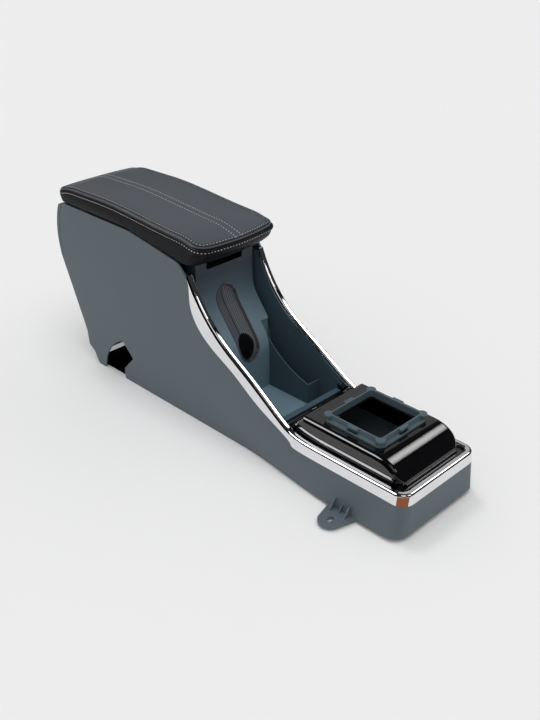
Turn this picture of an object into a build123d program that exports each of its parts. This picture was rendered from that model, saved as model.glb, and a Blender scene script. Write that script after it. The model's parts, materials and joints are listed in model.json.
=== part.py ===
# Car centre console with a padded armrest lid, in millimetres.
# The origin is on the floor at the middle of its length. +X points to the gear lever end,
# +Z is up, and the two long sides are mirrored about Y = 0.

from build123d import *
import os

os.makedirs("parts", exist_ok=True)

# Overall size
console_length = 852
x_front = console_length / 2
x_rear = -console_length / 2
overrun = 60
side_reach = 220

# Moulded walls and fits
wall = 3
liner_wall = 2.5
seam_gap = 0.6
seat_gap = 0.3
rim_gap = 0.15
thread_gap = 0.05

# Plan outline of the body at three heights: half widths at the rear and the front, where the
# body starts and stops widening, and the radius of the front corners
foot_rear_half = 80
foot_front_half = 104
foot_widen_from = 62
foot_widen_to = 342
foot_corner = 26
rim_height = 64
rim_rear_half = 82
rim_front_half = 93
rim_widen_from = -60
rim_widen_to = 230
rim_corner = 22
top_height = 330
top_rear_half = 88.3
top_front_half = 95
top_widen_from = -200
top_widen_to = 100
top_corner = 22

# Side view of the body
shoulder_height = 321
shoulder_bend_x = -200
shoulder_nose = (-66, 301.3)
shoulder_bend_radius = 150
shoulder_nose_radius = 30
front_lift = 9
lift_from_x = 62
rear_slope_top = (x_rear + 3, 212)
rear_slope_foot = (x_rear + 58, 65)
heel_edge = (x_rear + 60, 34)
heel_cut = (x_rear + 74.5, 24)
heel_toe = (x_rear + 87.5, 0)
hinge_relief_height = 317.5
hinge_relief_x = x_rear + 28

# Notch in the lower rear of both side walls
notch_rear_x = x_rear + 108.5
notch_bulge = (x_rear + 127, 46)
notch_apex = (x_rear + 175.5, 83)
notch_corner = (x_rear + 202.5, 55)
notch_front = (x_rear + 171.5, 22)

# Rear panel
panel_top = 316
panel_bottom = rear_slope_top[1] + seam_gap
panel_bulge_height = 265
panel_top_setback = 14.5
panel_flange = 8
panel_seam = 1.2
cross_wall_x = x_rear + 31
cross_wall_top = 285
panel_screw_half = 55
panel_screw_low = 235
panel_screw_high = 268

# Rim of the tray and the gear end: the rim strip's lower edge and its crown
rim_tip = (-46.5, 280)
rim_drop = (-43, 233)
rim_bend = (-15.5, 185)
rim_slope = (56.5, 143)
rim_run = (126.5, 102)
rim_sweep = (195, 71.5)
rim_level_x = 245
rim_heading = (0.5, -1)
crown_tip = (-44, 285)
crown_bend = (-15.7, 236)
crown_turn = (21.6, 195)
crown_slope = (94.6, 147.5)
crown_run = (165.6, 103)
crown_heading = (0.45, -1)
crown_rise = 20
trim_wall = 2.5
trim_width = 13
trim_lip = 4.3
trim_round = 4.5
crown_upward = 0.5
band_inset = trim_width - trim_wall
rim_flange = 1.8
flange_inset = wall + 0.2
ledge_depth = 4
ledge_reach = 8.6

# Tray liner
tray_half = 75
crease_drop = 9
face_x = -50
face_top = 299.5
face_knee_height = 217.6
toe_x = 12.5
toe_knee_height = 136.4
knee_radius = 60
face_half = 66
face_sheet = 3.2
face_depth = 25
floor_top = 45
sill_x = 146
sill_top = 82
sill_width = 11
divider_y = 47
divider_front_x = 107
divider_top = 83
divider_mid = (42, 111)
pocket_top = 166
finger_slot_width = 83
finger_slot_height = 16
finger_slot_top = 296
window_length = 26
window_height = 5
window_centre = (52, 165)
window_tilt = 33
tray_screw_y = 30
tray_screw_x = -66
liner_rear_x = -78
finger_slot_corner = 4
liner_front_x = sill_x + sill_width

# Handbrake boot in the sloped panel
slot_length = 143
slot_width = 50
boot_gap = 0.4
boot_wall = 2
boot_recess = 6
boot_floor = 3
boot_lip = 6
boot_proud = 0.8
lever_hole_length = 46
lever_hole_width = 34
lever_hole_offset = 43
slot_reach = 24
slot_run = (toe_x - face_x, 0, toe_knee_height - face_knee_height)
slot_plane = Plane(
    origin=((face_x + toe_x) / 2, 0, (face_knee_height + toe_knee_height) / 2),
    x_dir=slot_run,
    z_dir=(-slot_run[2], 0, slot_run[0]),
)

# Gear lever surround
surround_rear_x = sill_x + sill_width + seam_gap
surround_plate_top = 79
surround_half = 76
surround_rise_from = surround_rear_x + 4
surround_top_from = x_front - 220
surround_top_to = x_front - 74
surround_foot_x = x_front - 19
surround_top = 118
surround_corner = 26
surround_toe = 3
surround_edge = 8
surround_opening = 96
surround_skirt = 62
surround_heading = (0.35, -1)
surround_screw_x = (x_front - 168, x_front - 90)
surround_screw_y = rim_front_half - 6.6

# Gaiter frame
frame_centre_x = x_front - 133.5
frame_opening = 100
frame_wall = 3
frame_height = 12
frame_flange = 7
frame_flange_height = 3.5
lug_height = 3.5
lug_length = 20
lug_reach = 5
knob_radius = 8
knob_offset = 1.5
post_radius = 4.5
post_reach = frame_opening / 2 + knob_offset
frame_corner = 6
frame_screw_length = 10

# Mounting ears
ear_x = x_front - 109
ear_base = 5
ear_height = 3
ear_hole_y = 129
ear_radius = 20
ear_root = 58
ear_root_y = 96
ear_slot_length = 14
ear_slot_width = 9
gusset_pitch = 15
gusset_thickness = 2.2
gusset_height = 16
gusset_toe = 116
gusset_middle_share = 0.72

# Locating pegs under the front corners
peg_x = x_front - 13
peg_y = 74
peg_radius = 4.5
peg_shelf_height = 14
peg_shelf_thickness = 3
peg_shelf_depth = 20
peg_neck_radius = 2.5
peg_head_radius = 4
peg_head_height = 3

# Storage bin
bin_rear_x = x_rear + 44
bin_front_x = -86
bin_half = 68
bin_top = 294
bin_floor = 180
bin_wall = 2.5
bin_corner = 14
bin_draft = 2
bin_tab_half = 58
bin_flange_rear_x = x_rear + 24
bin_flange_front_x = -55
bin_rail_height = 5
bin_screw_y = 76
bin_screw_rear_x = x_rear + 70
bin_screw_front_x = -130

# Lid: side view, plan and layers
lid_rear_x = x_rear + 18.5
lid_front_x = -4
lid_half = 88
lid_gap = 2
lid_bottom = shoulder_height + lid_gap
lid_slope_from_x = -200
lid_slope_to_x = -50
lid_front_bottom = 301
lid_bend_radius = 150
lid_under_x = -30
lid_nose_foot_inset = 20
lid_nose_low = 308
lid_nose_low_inset = 9
lid_nose_height = 324
lid_rear_height = 347
lid_top_rear = (lid_rear_x + 14, 356)
lid_top_swell = (-345, 363)
lid_crown_radius = 600
lid_edge_round = 8
lid_top_crest = (-265, 365)
lid_top_middle = (-170, 360.5)
lid_top_fall = (-90, 355.5)
lid_top_front = (-36, 351)
lid_front_top = 341
lid_bow = 12
lid_front_corner = 26
lid_rear_corner = 14
pad_side = 5.5
pad_front = 26
carrier_top = 340
carrier_thickness = 3
cover_wall = 2.5
cover_recess = 1
layer_gap = 0.4
cover_screw_y = 58
cover_screw_x = (-300, -170, -80)
cover_rear_inset = 9
screw_seat_depth = 0.8

# Hinge along the lid's rear lower edge
hinge_x = x_rear + 20.5
hinge_z = 322
pin_radius = 1.75
pin_clearance = 0.05
barrel_radius = 3.4
knuckle_outer = 60
knuckle_split = 40
knuckle_inner = 20
knuckle_gap = 0.4
hinge_notch = 1.6
hinge_notch_depth = 7.5
hinge_notch_half = 66
plate_thickness = 2
bracket_step = 8.5
bracket_foot = 14
leaf_length = 55
leaf_screw_y = 28
leaf_screw_near = 22
leaf_screw_far = 44
bracket_screw_y = 46
bracket_screw_x = hinge_x + 16
pin_end = 3
pin_clip_radius = 3
pin_clip_thickness = 1.2

# Screws
screw_radius = 1.75
screw_head_radius = 3.5
screw_head_height = 2.4
screw_length = 12
screw_hole_radius = screw_radius + seat_gap
boss_radius = 4.5
boss_hole_radius = screw_radius + thread_gap

# Rubber stops under the lid
stop_radius = 6
stop_x = -66
stop_y = 48
stop_round = 1.5

# Rim strip clips
clip_width = 5
clip_length = 12
clip_inset = 7
clip_x = (x_front - 129, x_front - 51)
clip_y = 40


def body_section(height, rear_half, front_half, widen_from, widen_to, corner, inset):
    """Plan outline of the body at one height, drawn in by the inset."""
    with BuildSketch(Plane.XY.offset(height)) as section:
        with BuildLine():
            side_start = (widen_from, rear_half - inset)
            side_end = (widen_to, front_half - inset)
            Polyline((x_rear - overrun, 0), (x_rear - overrun, rear_half - inset), side_start)
            Spline(side_start, side_end, tangents=((1, 0), (1, 0)))
            Line(side_end, (x_front - corner, front_half - inset))
            CenterArc((x_front - corner, front_half - corner), corner - inset, 0, 90)
            Line((x_front - inset, front_half - corner), (x_front - inset, 0))
            mirror(about=Plane.XZ)
        make_face()
    return section.sketch


def body_block(inset, mode=Mode.ADD):
    """The body as a solid block, drawn in by the inset on its sides and front."""
    foot = body_section(
        0, foot_rear_half, foot_front_half, foot_widen_from, foot_widen_to, foot_corner, inset
    )
    rim = body_section(
        rim_height, rim_rear_half, rim_front_half, rim_widen_from, rim_widen_to, rim_corner, inset
    )
    top = body_section(
        top_height, top_rear_half, top_front_half, top_widen_from, top_widen_to, top_corner, inset
    )
    loft(sections=[foot, rim, top], mode=mode)


def moved(point, shift):
    """A side-view point moved the same way along X and Z."""
    return (point[0] + shift, point[1] + shift)


def rim_curve(shift):
    """Lower edge of the rim strip in side view, from its tip to the level front run."""
    level = (rim_level_x, rim_height)
    points = (rim_tip, rim_drop, rim_bend, rim_slope, rim_run, rim_sweep, level)
    return Spline(*[moved(point, shift) for point in points], tangents=(rim_heading, (1, 0)))


def crown_curve(shift):
    """Crown of the rim strip in side view, from its tip to the level front run."""
    level = (rim_level_x, rim_height + crown_rise)
    points = (crown_tip, crown_bend, crown_turn, crown_slope, crown_run, level)
    return Spline(*[moved(point, shift) for point in points], tangents=(crown_heading, (1, 0)))


def beside_curve(curve, shift, rear_x, limit_height):
    """Side-view face between a rim or crown curve and a height above or below it."""
    with BuildSketch(Plane.XZ) as face:
        with BuildLine():
            line = curve(shift)
            start = line @ 0
            level = line @ 1
            Polyline(
                level,
                (x_front + overrun, level.Y),
                (x_front + overrun, limit_height),
                (rear_x, limit_height),
                (rear_x, start.Y),
                start,
            )
        make_face()
    return face.sketch


def cut_side_view(face, mode):
    """Carry a side-view face across the whole width of the part."""
    extrude(to_extrude=face, amount=side_reach, both=True, mode=mode)


def keep_length(from_x, to_x):
    """Keep only what lies between two places along the length."""
    with Locations(((from_x + to_x) / 2, 0, top_height / 2)):
        Box(to_x - from_x, 2 * side_reach, 2 * top_height, mode=Mode.INTERSECT)


def keep_height(from_z, to_z):
    """Keep only what lies between two heights."""
    with Locations((0, 0, (from_z + to_z) / 2)):
        Box(2 * console_length, 2 * side_reach, to_z - from_z, mode=Mode.INTERSECT)


def panel_curve(shift, top, bottom):
    """Front of the sloped tray panel in side view, moved along X by the shift."""
    return FilletPolyline(
        (face_x + shift, top),
        (face_x + shift, face_knee_height),
        (toe_x + shift, toe_knee_height),
        (toe_x + shift, bottom),
        radius=knee_radius,
    )


def panel_face(shift, top, bottom, far_x):
    """Side-view face between the sloped panel's front and a plane at far_x."""
    with BuildSketch(Plane.XZ) as face:
        with BuildLine():
            front = panel_curve(shift, top, bottom)
            Polyline(front @ 1, (far_x, bottom), (far_x, top), front @ 0)
        make_face()
    return face.sketch


def hump_profile(drop):
    """Side view of the raised part of the gear surround, drawn in by the drop."""
    foot = surround_foot_x - drop
    base = surround_plate_top - liner_wall
    with BuildSketch(Plane.XZ) as face:
        with BuildLine():
            Spline(
                (surround_top_to, surround_top - drop),
                (foot, surround_plate_top - drop),
                tangents=((1, 0), surround_heading),
            )
            Polyline(
                (foot, surround_plate_top - drop),
                (foot, base - drop),
                (surround_rise_from + drop, base - drop),
                (surround_rise_from + drop, surround_plate_top - drop),
                (surround_top_from, surround_top - drop),
                (surround_top_to, surround_top - drop),
            )
        make_face()
    return face.sketch


def hump_plan(inset):
    """Plan outline of the raised part of the gear surround, drawn in by the inset."""
    rear = surround_rear_x - overrun
    toe = surround_foot_x + surround_toe - inset
    half = surround_half - inset
    with BuildSketch() as plan:
        with BuildLine():
            Polyline((rear, -half), (toe, -half), (toe, half), (rear, half), close=True)
        make_face()
        fillet(plan.vertices().group_by(Axis.X)[-1], surround_corner - inset)
    return plan.sketch


def rear_curve(shift):
    """Bulged rear outline of the console above its lower rear wall."""
    return Spline(
        (x_rear + panel_top_setback + shift, panel_top),
        (x_rear + shift, panel_bulge_height),
        (rear_slope_top[0] + shift, panel_bottom),
    )


def lid_outline(side_inset, front_inset, rear_inset, height):
    """Plan outline of the lid at one height, drawn in by the insets."""
    rear = lid_rear_x + rear_inset
    half = lid_half - side_inset
    front = lid_front_x - front_inset
    with BuildSketch(Plane.XY.offset(height)) as plan:
        with BuildLine():
            Polyline((front - lid_bow, -half), (rear, -half), (rear, half), (front - lid_bow, half))
            ThreePointArc((front - lid_bow, half), (front, 0), (front - lid_bow, -half))
        make_face()
        fillet(plan.vertices().group_by(Axis.X)[0], lid_rear_corner - side_inset)
        fillet(plan.vertices().group_by(Axis.X)[-1], lid_front_corner - side_inset)
    return plan.sketch


def lid_plan(side_inset, front_inset, rear_inset, from_z, to_z, mode=Mode.ADD):
    """Upright block with the lid's plan outline, drawn in by the insets."""
    outline = lid_outline(side_inset, front_inset, rear_inset, from_z)
    extrude(to_extrude=outline, amount=to_z - from_z, mode=mode)


def lid_under_curve(lift):
    """Underside of the lid in side view, raised by the lift."""
    return FilletPolyline(
        (lid_rear_x - overrun, lid_bottom + lift),
        (lid_slope_from_x, lid_bottom + lift),
        (lid_slope_to_x, lid_front_bottom + lift),
        (lid_under_x, lid_front_bottom + lift),
        radius=lid_bend_radius,
    )


def lid_under_height(x):
    """Height of the lid's underside at a place along the length."""
    share = (x - lid_slope_from_x) / (lid_slope_to_x - lid_slope_from_x)
    return lid_bottom + max(share, 0) * (lid_front_bottom - lid_bottom)


def lid_above_face(lift, top):
    """Side-view face above the lid's underside."""
    with BuildSketch(Plane.XZ) as face:
        with BuildLine():
            under = lid_under_curve(lift)
            Polyline(
                under @ 1,
                (lid_front_x + overrun, lid_front_bottom + lift),
                (lid_front_x + overrun, top),
                (lid_rear_x - overrun, top),
                under @ 0,
            )
        make_face()
    return face.sketch


def cylinder_along(start, direction, radius, length, mode=Mode.ADD):
    """Cylinder that starts at a point and runs along a direction."""
    with BuildSketch(Plane(origin=start, z_dir=direction)) as disc:
        Circle(radius)
    extrude(to_extrude=disc.sketch, amount=length, mode=mode)


def screw(seat, direction, length):
    """Pan head screw: its head sits on the seat and its shank runs along the direction."""
    cylinder_along(seat, direction, screw_radius, length)
    back = (-direction[0], -direction[1], -direction[2])
    cylinder_along(seat, back, screw_head_radius, screw_head_height)


up = (0, 0, 1)
down = (0, 0, -1)
rearward = (-1, 0, 0)
sides = (-1, 1)


# Hollow inside of the shell, open below, above and behind its cross wall
with BuildPart() as shell_hollow:
    body_block(wall)
    with BuildSketch(Plane.XZ):
        with BuildLine():
            Polyline(
                (heel_cut[0] + wall, -overrun),
                (heel_cut[0] + wall, heel_cut[1] + wall),
                (heel_edge[0] + wall, heel_edge[1] + wall),
                (rear_slope_foot[0] + wall, rear_slope_foot[1]),
                (rear_slope_top[0] + wall, rear_slope_top[1] - wall),
                (cross_wall_x + wall, rear_slope_top[1] - wall),
                (cross_wall_x + wall, cross_wall_top),
                (cross_wall_x, cross_wall_top),
                (cross_wall_x, rear_slope_top[1]),
                (x_rear - overrun, rear_slope_top[1]),
                (x_rear - overrun, top_height + overrun),
                (x_front + overrun, top_height + overrun),
                (x_front + overrun, -overrun),
                close=True,
            )
        make_face()
    extrude(amount=side_reach, both=True, mode=Mode.INTERSECT)

# Ledge inside the rim that carries the tray liner and the gear surround
with BuildPart() as rim_ledge:
    body_block(wall / 2)
    body_block(ledge_reach, mode=Mode.SUBTRACT)
    cut_side_view(beside_curve(rim_curve, -rim_gap, rim_tip[0] - ledge_depth, -overrun), Mode.INTERSECT)
    cut_side_view(beside_curve(rim_curve, -ledge_depth, x_rear, -overrun), Mode.SUBTRACT)

# Rails on the side walls that carry the storage bin
with BuildPart() as bin_rails:
    body_block(wall / 2)
    body_block(ledge_reach + boss_radius, mode=Mode.SUBTRACT)
    keep_length(cross_wall_x, bin_front_x)
    rail_top = bin_top - bin_wall - seat_gap
    keep_height(rail_top - bin_rail_height, rail_top)

# Rib behind the front wall that holds the locating pegs
with BuildPart() as peg_shelf:
    body_block(wall / 2)
    keep_length(x_front - wall - peg_shelf_depth, x_front)
    keep_height(peg_shelf_height, peg_shelf_height + peg_shelf_thickness)

# Moulded console shell with its mounting ears
with BuildPart() as console_shell:
    body_block(0)
    with BuildSketch(Plane.XZ):
        with BuildLine():
            rim = rim_curve(-rim_gap)
            shoulder = FilletPolyline(
                (hinge_relief_x, shoulder_height),
                (shoulder_bend_x, shoulder_height),
                shoulder_nose,
                rim @ 0,
                radius=(shoulder_bend_radius, shoulder_nose_radius),
            )
            seam = rear_curve(panel_flange + panel_seam)
            lift_slope = front_lift / (x_front - lift_from_x)
            Polyline(
                rim @ 1,
                (x_front + overrun, (rim @ 1).Y),
                (x_front + overrun, lift_slope * (x_front + overrun - lift_from_x)),
                (lift_from_x, 0),
                heel_toe,
                heel_cut,
                heel_edge,
                rear_slope_foot,
                rear_slope_top,
                (rear_slope_top[0] + panel_flange + panel_seam, rear_slope_top[1]),
                seam @ 1,
            )
            Polyline(seam @ 0, (hinge_relief_x, hinge_relief_height), shoulder @ 0)
        make_face()
    extrude(amount=side_reach, both=True, mode=Mode.INTERSECT)
    with BuildSketch(Plane.XZ):
        with BuildLine():
            ThreePointArc((notch_rear_x, -overrun / 2), notch_bulge, notch_apex)
            Polyline(
                notch_apex,
                notch_corner,
                notch_front,
                (notch_front[0], -overrun / 2),
                (notch_rear_x, -overrun / 2),
            )
        make_face()
    extrude(amount=side_reach, both=True, mode=Mode.SUBTRACT)
    for side in sides:
        with BuildSketch(Plane.XY.offset(ear_base)):
            with Locations((ear_x, side * ear_hole_y)):
                Circle(ear_radius)
            with Locations((ear_x, side * ear_root_y)):
                Rectangle(ear_root, wall)
            make_hull()
            with Locations((ear_x, side * ear_hole_y)):
                SlotOverall(ear_slot_length, ear_slot_width, rotation=90, mode=Mode.SUBTRACT)
        extrude(amount=ear_height)
        for step in (-1, 0, 1):
            share = 1 if step else gusset_middle_share
            gusset_top = ear_base + ear_height + share * gusset_height
            toe = ear_root_y + share * (gusset_toe - ear_root_y)
            with BuildSketch(Plane.YZ.offset(ear_x + step * gusset_pitch)):
                with BuildLine():
                    Polyline(
                        (side * ear_root_y, ear_base),
                        (side * toe, ear_base),
                        (side * toe, ear_base + ear_height),
                        (side * foot_front_half, gusset_top),
                        (side * ear_root_y, gusset_top),
                        close=True,
                    )
                make_face()
            extrude(amount=gusset_thickness / 2, both=True)
    add(shell_hollow.part, mode=Mode.SUBTRACT)
    add(rim_ledge.part)
    add(bin_rails.part)
    add(peg_shelf.part)
    for side in sides:
        for height in (panel_screw_low, panel_screw_high):
            start = (cross_wall_x - wall, side * panel_screw_half, height)
            cylinder_along(start, (1, 0, 0), screw_hole_radius, 3 * wall, Mode.SUBTRACT)
        cylinder_along((peg_x, side * peg_y, 0), up, peg_neck_radius + seat_gap, overrun, Mode.SUBTRACT)
        for x in (bin_screw_rear_x, bin_screw_front_x):
            cylinder_along((x, side * bin_screw_y, bin_top), down, boss_hole_radius, overrun, Mode.SUBTRACT)
        for x in surround_screw_x:
            start = (x, side * surround_screw_y, rim_height + crown_rise)
            cylinder_along(start, down, boss_hole_radius, overrun, Mode.SUBTRACT)
console_shell.part.label = "console_shell"
export_step(console_shell.part, "parts/console_shell.step")

# Inside of the rear panel
with BuildPart() as rear_panel_hollow:
    body_block(wall)
    with BuildSketch(Plane.XZ):
        with BuildLine():
            skin = rear_curve(wall)
            Polyline(skin @ 1, (x_rear + overrun, panel_bottom), (x_rear + overrun, panel_top), skin @ 0)
        make_face()
    extrude(amount=side_reach, both=True, mode=Mode.INTERSECT)
    keep_height(panel_bottom + wall, panel_top - wall)

# Bulged rear panel with its four screw bosses
with BuildPart() as rear_panel:
    body_block(0)
    with BuildSketch(Plane.XZ):
        with BuildLine():
            skin = rear_curve(0)
            inner = rear_curve(panel_flange)
            Line(skin @ 0, inner @ 0)
            Line(skin @ 1, inner @ 1)
        make_face()
    extrude(amount=side_reach, both=True, mode=Mode.INTERSECT)
    add(rear_panel_hollow.part, mode=Mode.SUBTRACT)
    boss_length = cross_wall_x - seat_gap - x_rear - wall / 2
    for side in sides:
        for height in (panel_screw_low, panel_screw_high):
            start = (cross_wall_x - seat_gap, side * panel_screw_half, height)
            cylinder_along(start, rearward, boss_radius, boss_length)
            cylinder_along(start, rearward, boss_hole_radius, screw_length, Mode.SUBTRACT)
rear_panel.part.label = "rear_panel"
export_step(rear_panel.part, "parts/rear_panel.step")

# Screws that hold the rear panel to the shell's cross wall
with BuildPart() as rear_panel_screws:
    for side in sides:
        for height in (panel_screw_low, panel_screw_high):
            screw((cross_wall_x + wall, side * panel_screw_half, height), rearward, screw_length)
rear_panel_screws.part.label = "rear_panel_screws"
export_step(rear_panel_screws.part, "parts/rear_panel_screws.step")

# Storage bin under the lid, with the flange it hangs from
with BuildPart() as storage_bin:
    body_block(wall + seam_gap)
    keep_length(bin_flange_rear_x, liner_rear_x - seam_gap)
    keep_height(bin_top - bin_wall, bin_top)
    with Locations(((bin_front_x + bin_flange_front_x) / 2, 0, bin_top - bin_wall / 2)):
        Box(bin_flange_front_x - bin_front_x, 2 * bin_tab_half, bin_wall)
    bin_middle_x = (bin_rear_x + bin_front_x) / 2
    with BuildSketch(Plane.XY.offset(bin_top)):
        with Locations((bin_middle_x, 0)):
            RectangleRounded(bin_front_x - bin_rear_x, 2 * bin_half, bin_corner)
    extrude(amount=bin_floor - bin_top, taper=bin_draft)
    with BuildSketch(Plane.XY.offset(bin_top)):
        with Locations((bin_middle_x, 0)):
            RectangleRounded(
                bin_front_x - bin_rear_x - 2 * bin_wall, 2 * (bin_half - bin_wall), bin_corner - bin_wall
            )
    extrude(amount=bin_floor + bin_wall - bin_top, taper=bin_draft, mode=Mode.SUBTRACT)
    for side in sides:
        for x in (bin_screw_rear_x, bin_screw_front_x):
            cylinder_along((x, side * bin_screw_y, bin_top), down, screw_hole_radius, bin_wall, Mode.SUBTRACT)
        start = (bracket_screw_x, side * bracket_screw_y, bin_top)
        cylinder_along(start, down, boss_hole_radius, bin_wall, Mode.SUBTRACT)
        start = (tray_screw_x, side * tray_screw_y, bin_top)
        cylinder_along(start, down, boss_hole_radius, bin_wall, Mode.SUBTRACT)
storage_bin.part.label = "storage_bin"
export_step(storage_bin.part, "parts/storage_bin.step")

# Screws that hold the storage bin to the shell's rails
with BuildPart() as bin_screws:
    for side in sides:
        for x in (bin_screw_rear_x, bin_screw_front_x):
            screw((x, side * bin_screw_y, bin_top), down, screw_length)
bin_screws.part.label = "bin_screws"
export_step(bin_screws.part, "parts/bin_screws.step")

# Step, band and flange along the top of the tray's side walls, under the rim strip
with BuildPart() as liner_step:
    body_block(band_inset)
    cut_side_view(beside_curve(crown_curve, -crease_drop, x_rear, -overrun), Mode.INTERSECT)
    cut_side_view(beside_curve(crown_curve, -crease_drop - rim_flange, x_rear, -overrun), Mode.SUBTRACT)
    keep_length(liner_rear_x, liner_front_x)
with BuildPart() as liner_band:
    body_block(band_inset)
    body_block(trim_width, mode=Mode.SUBTRACT)
    cut_side_view(beside_curve(crown_curve, -trim_lip - seat_gap, x_rear, -overrun), Mode.INTERSECT)
    cut_side_view(beside_curve(crown_curve, -crease_drop - rim_flange, x_rear, -overrun), Mode.SUBTRACT)
    keep_length(liner_rear_x, liner_front_x)
with BuildPart() as liner_flange:
    body_block(flange_inset)
    cut_side_view(beside_curve(rim_curve, rim_gap + rim_flange, x_rear, -overrun), Mode.INTERSECT)
    cut_side_view(beside_curve(rim_curve, rim_gap, x_rear, -overrun), Mode.SUBTRACT)
    cut_side_view(beside_curve(crown_curve, -trim_lip - seat_gap, x_rear, -overrun), Mode.INTERSECT)
    keep_length(rim_tip[0], liner_front_x)

# Hollow behind the raised panel, leaving the pocket's own walls
with BuildPart() as panel_hollow:
    hollow = panel_face(-face_sheet, face_top - liner_wall, floor_top, x_rear)
    extrude(to_extrude=hollow, amount=face_half - liner_wall, both=True)
    pocket_shell_from = divider_y - liner_wall / 2
    pocket_shell_top = pocket_top + liner_wall
    with Locations((0, (pocket_shell_from + tray_half) / 2, pocket_shell_top / 2)):
        Box(console_length, tray_half - pocket_shell_from, pocket_shell_top, mode=Mode.SUBTRACT)

# Low wall in the tray that makes a pocket beside the sloped panel
with BuildPart() as pocket_divider:
    pocket_middle_y = (divider_y + tray_half) / 2
    with BuildSketch(Plane.XZ.offset(-divider_y - liner_wall / 2)):
        with BuildLine():
            Spline((toe_x - face_depth, pocket_top), divider_mid, (divider_front_x, divider_top))
            Polyline(
                (divider_front_x, divider_top),
                (divider_front_x, floor_top - liner_wall / 2),
                (toe_x - face_depth, floor_top - liner_wall / 2),
                (toe_x - face_depth, pocket_top),
            )
        make_face()
    extrude(amount=liner_wall)
    with Locations((divider_front_x - liner_wall / 2, pocket_middle_y, (floor_top + divider_top) / 2)):
        Box(liner_wall, tray_half + liner_wall - divider_y, divider_top - floor_top)
    cut_side_view(panel_face(seat_gap, face_top, 0, x_rear), Mode.SUBTRACT)

# Tray liner: tub, pocket with its divider, and the sill to the gear end
with BuildPart() as tray_liner:
    with BuildSketch(Plane.XZ):
        with BuildLine():
            back = panel_curve(-face_depth - face_sheet, face_top, floor_top - liner_wall)
            Polyline(
                back @ 1,
                (sill_x + liner_wall, floor_top - liner_wall),
                (sill_x + liner_wall, face_top),
                back @ 0,
            )
        make_face()
    extrude(amount=tray_half + liner_wall, both=True)
    cut_side_view(beside_curve(crown_curve, -crease_drop, x_rear, -overrun), Mode.INTERSECT)
    add(liner_step.part)
    add(liner_flange.part)
    with BuildSketch(Plane.XZ):
        with BuildLine():
            back = panel_curve(-face_depth, face_top, floor_top)
            Polyline(back @ 1, (sill_x, floor_top), (sill_x, face_top), back @ 0)
        make_face()
    extrude(amount=tray_half, both=True, mode=Mode.SUBTRACT)
    with Locations((liner_front_x, 0, sill_top + overrun)):
        Box(2 * sill_width + liner_wall, 2 * tray_half, 2 * overrun, mode=Mode.SUBTRACT)
    with Locations((sill_x + sill_width / 2, 0, sill_top - liner_wall / 2)):
        Box(sill_width, 2 * tray_half, liner_wall)
    add(liner_band.part)
    add(panel_hollow.part, mode=Mode.SUBTRACT)
    add(pocket_divider.part)
    with BuildSketch(Plane.XZ):
        with Locations(window_centre):
            Rectangle(window_length, window_height, rotation=-window_tilt)
    extrude(amount=side_reach, both=True, mode=Mode.SUBTRACT)
    with BuildSketch(slot_plane):
        SlotOverall(slot_length, slot_width)
    extrude(amount=slot_reach, both=True, mode=Mode.SUBTRACT)
tray_liner.part.label = "tray_liner"
export_step(tray_liner.part, "parts/tray_liner.step")

# Raised sloped panel in the tray, with the finger slot and the handbrake slot
with BuildPart() as tray_panel:
    panel_foot = floor_top + seat_gap
    panel_back = panel_face(seat_gap - face_depth, face_top, panel_foot, x_rear)
    extrude(to_extrude=panel_face(0, face_top, panel_foot, x_rear), amount=face_half, both=True)
    cut_side_view(panel_back, Mode.SUBTRACT)
    with Locations((toe_x - face_depth / 2, pocket_middle_y, (floor_top + pocket_top) / 2)):
        Box(face_depth, tray_half - divider_y, pocket_top - floor_top, mode=Mode.SUBTRACT)
    add(panel_hollow.part, mode=Mode.SUBTRACT)
    with BuildSketch(Plane.YZ.offset(face_x)):
        with Locations((0, finger_slot_top - finger_slot_height / 2)):
            RectangleRounded(finger_slot_width, finger_slot_height, finger_slot_corner)
    extrude(amount=-face_sheet, mode=Mode.SUBTRACT)
    with BuildSketch(slot_plane):
        SlotOverall(slot_length, slot_width)
    extrude(amount=slot_reach, both=True, mode=Mode.SUBTRACT)
    for side in sides:
        start = (tray_screw_x, side * tray_screw_y, bin_top + seat_gap)
        cylinder_along(start, up, boss_radius, face_top - liner_wall - bin_top)
        cylinder_along(start, up, screw_hole_radius, overrun, Mode.SUBTRACT)
tray_panel.part.label = "tray_panel"
export_step(tray_panel.part, "parts/tray_panel.step")

# Screws that hold the sloped panel's top edge to the storage bin
with BuildPart() as tray_screws:
    for side in sides:
        screw((tray_screw_x, side * tray_screw_y, face_top), down, screw_length)
tray_screws.part.label = "tray_screws"
export_step(tray_screws.part, "parts/tray_screws.step")

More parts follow.
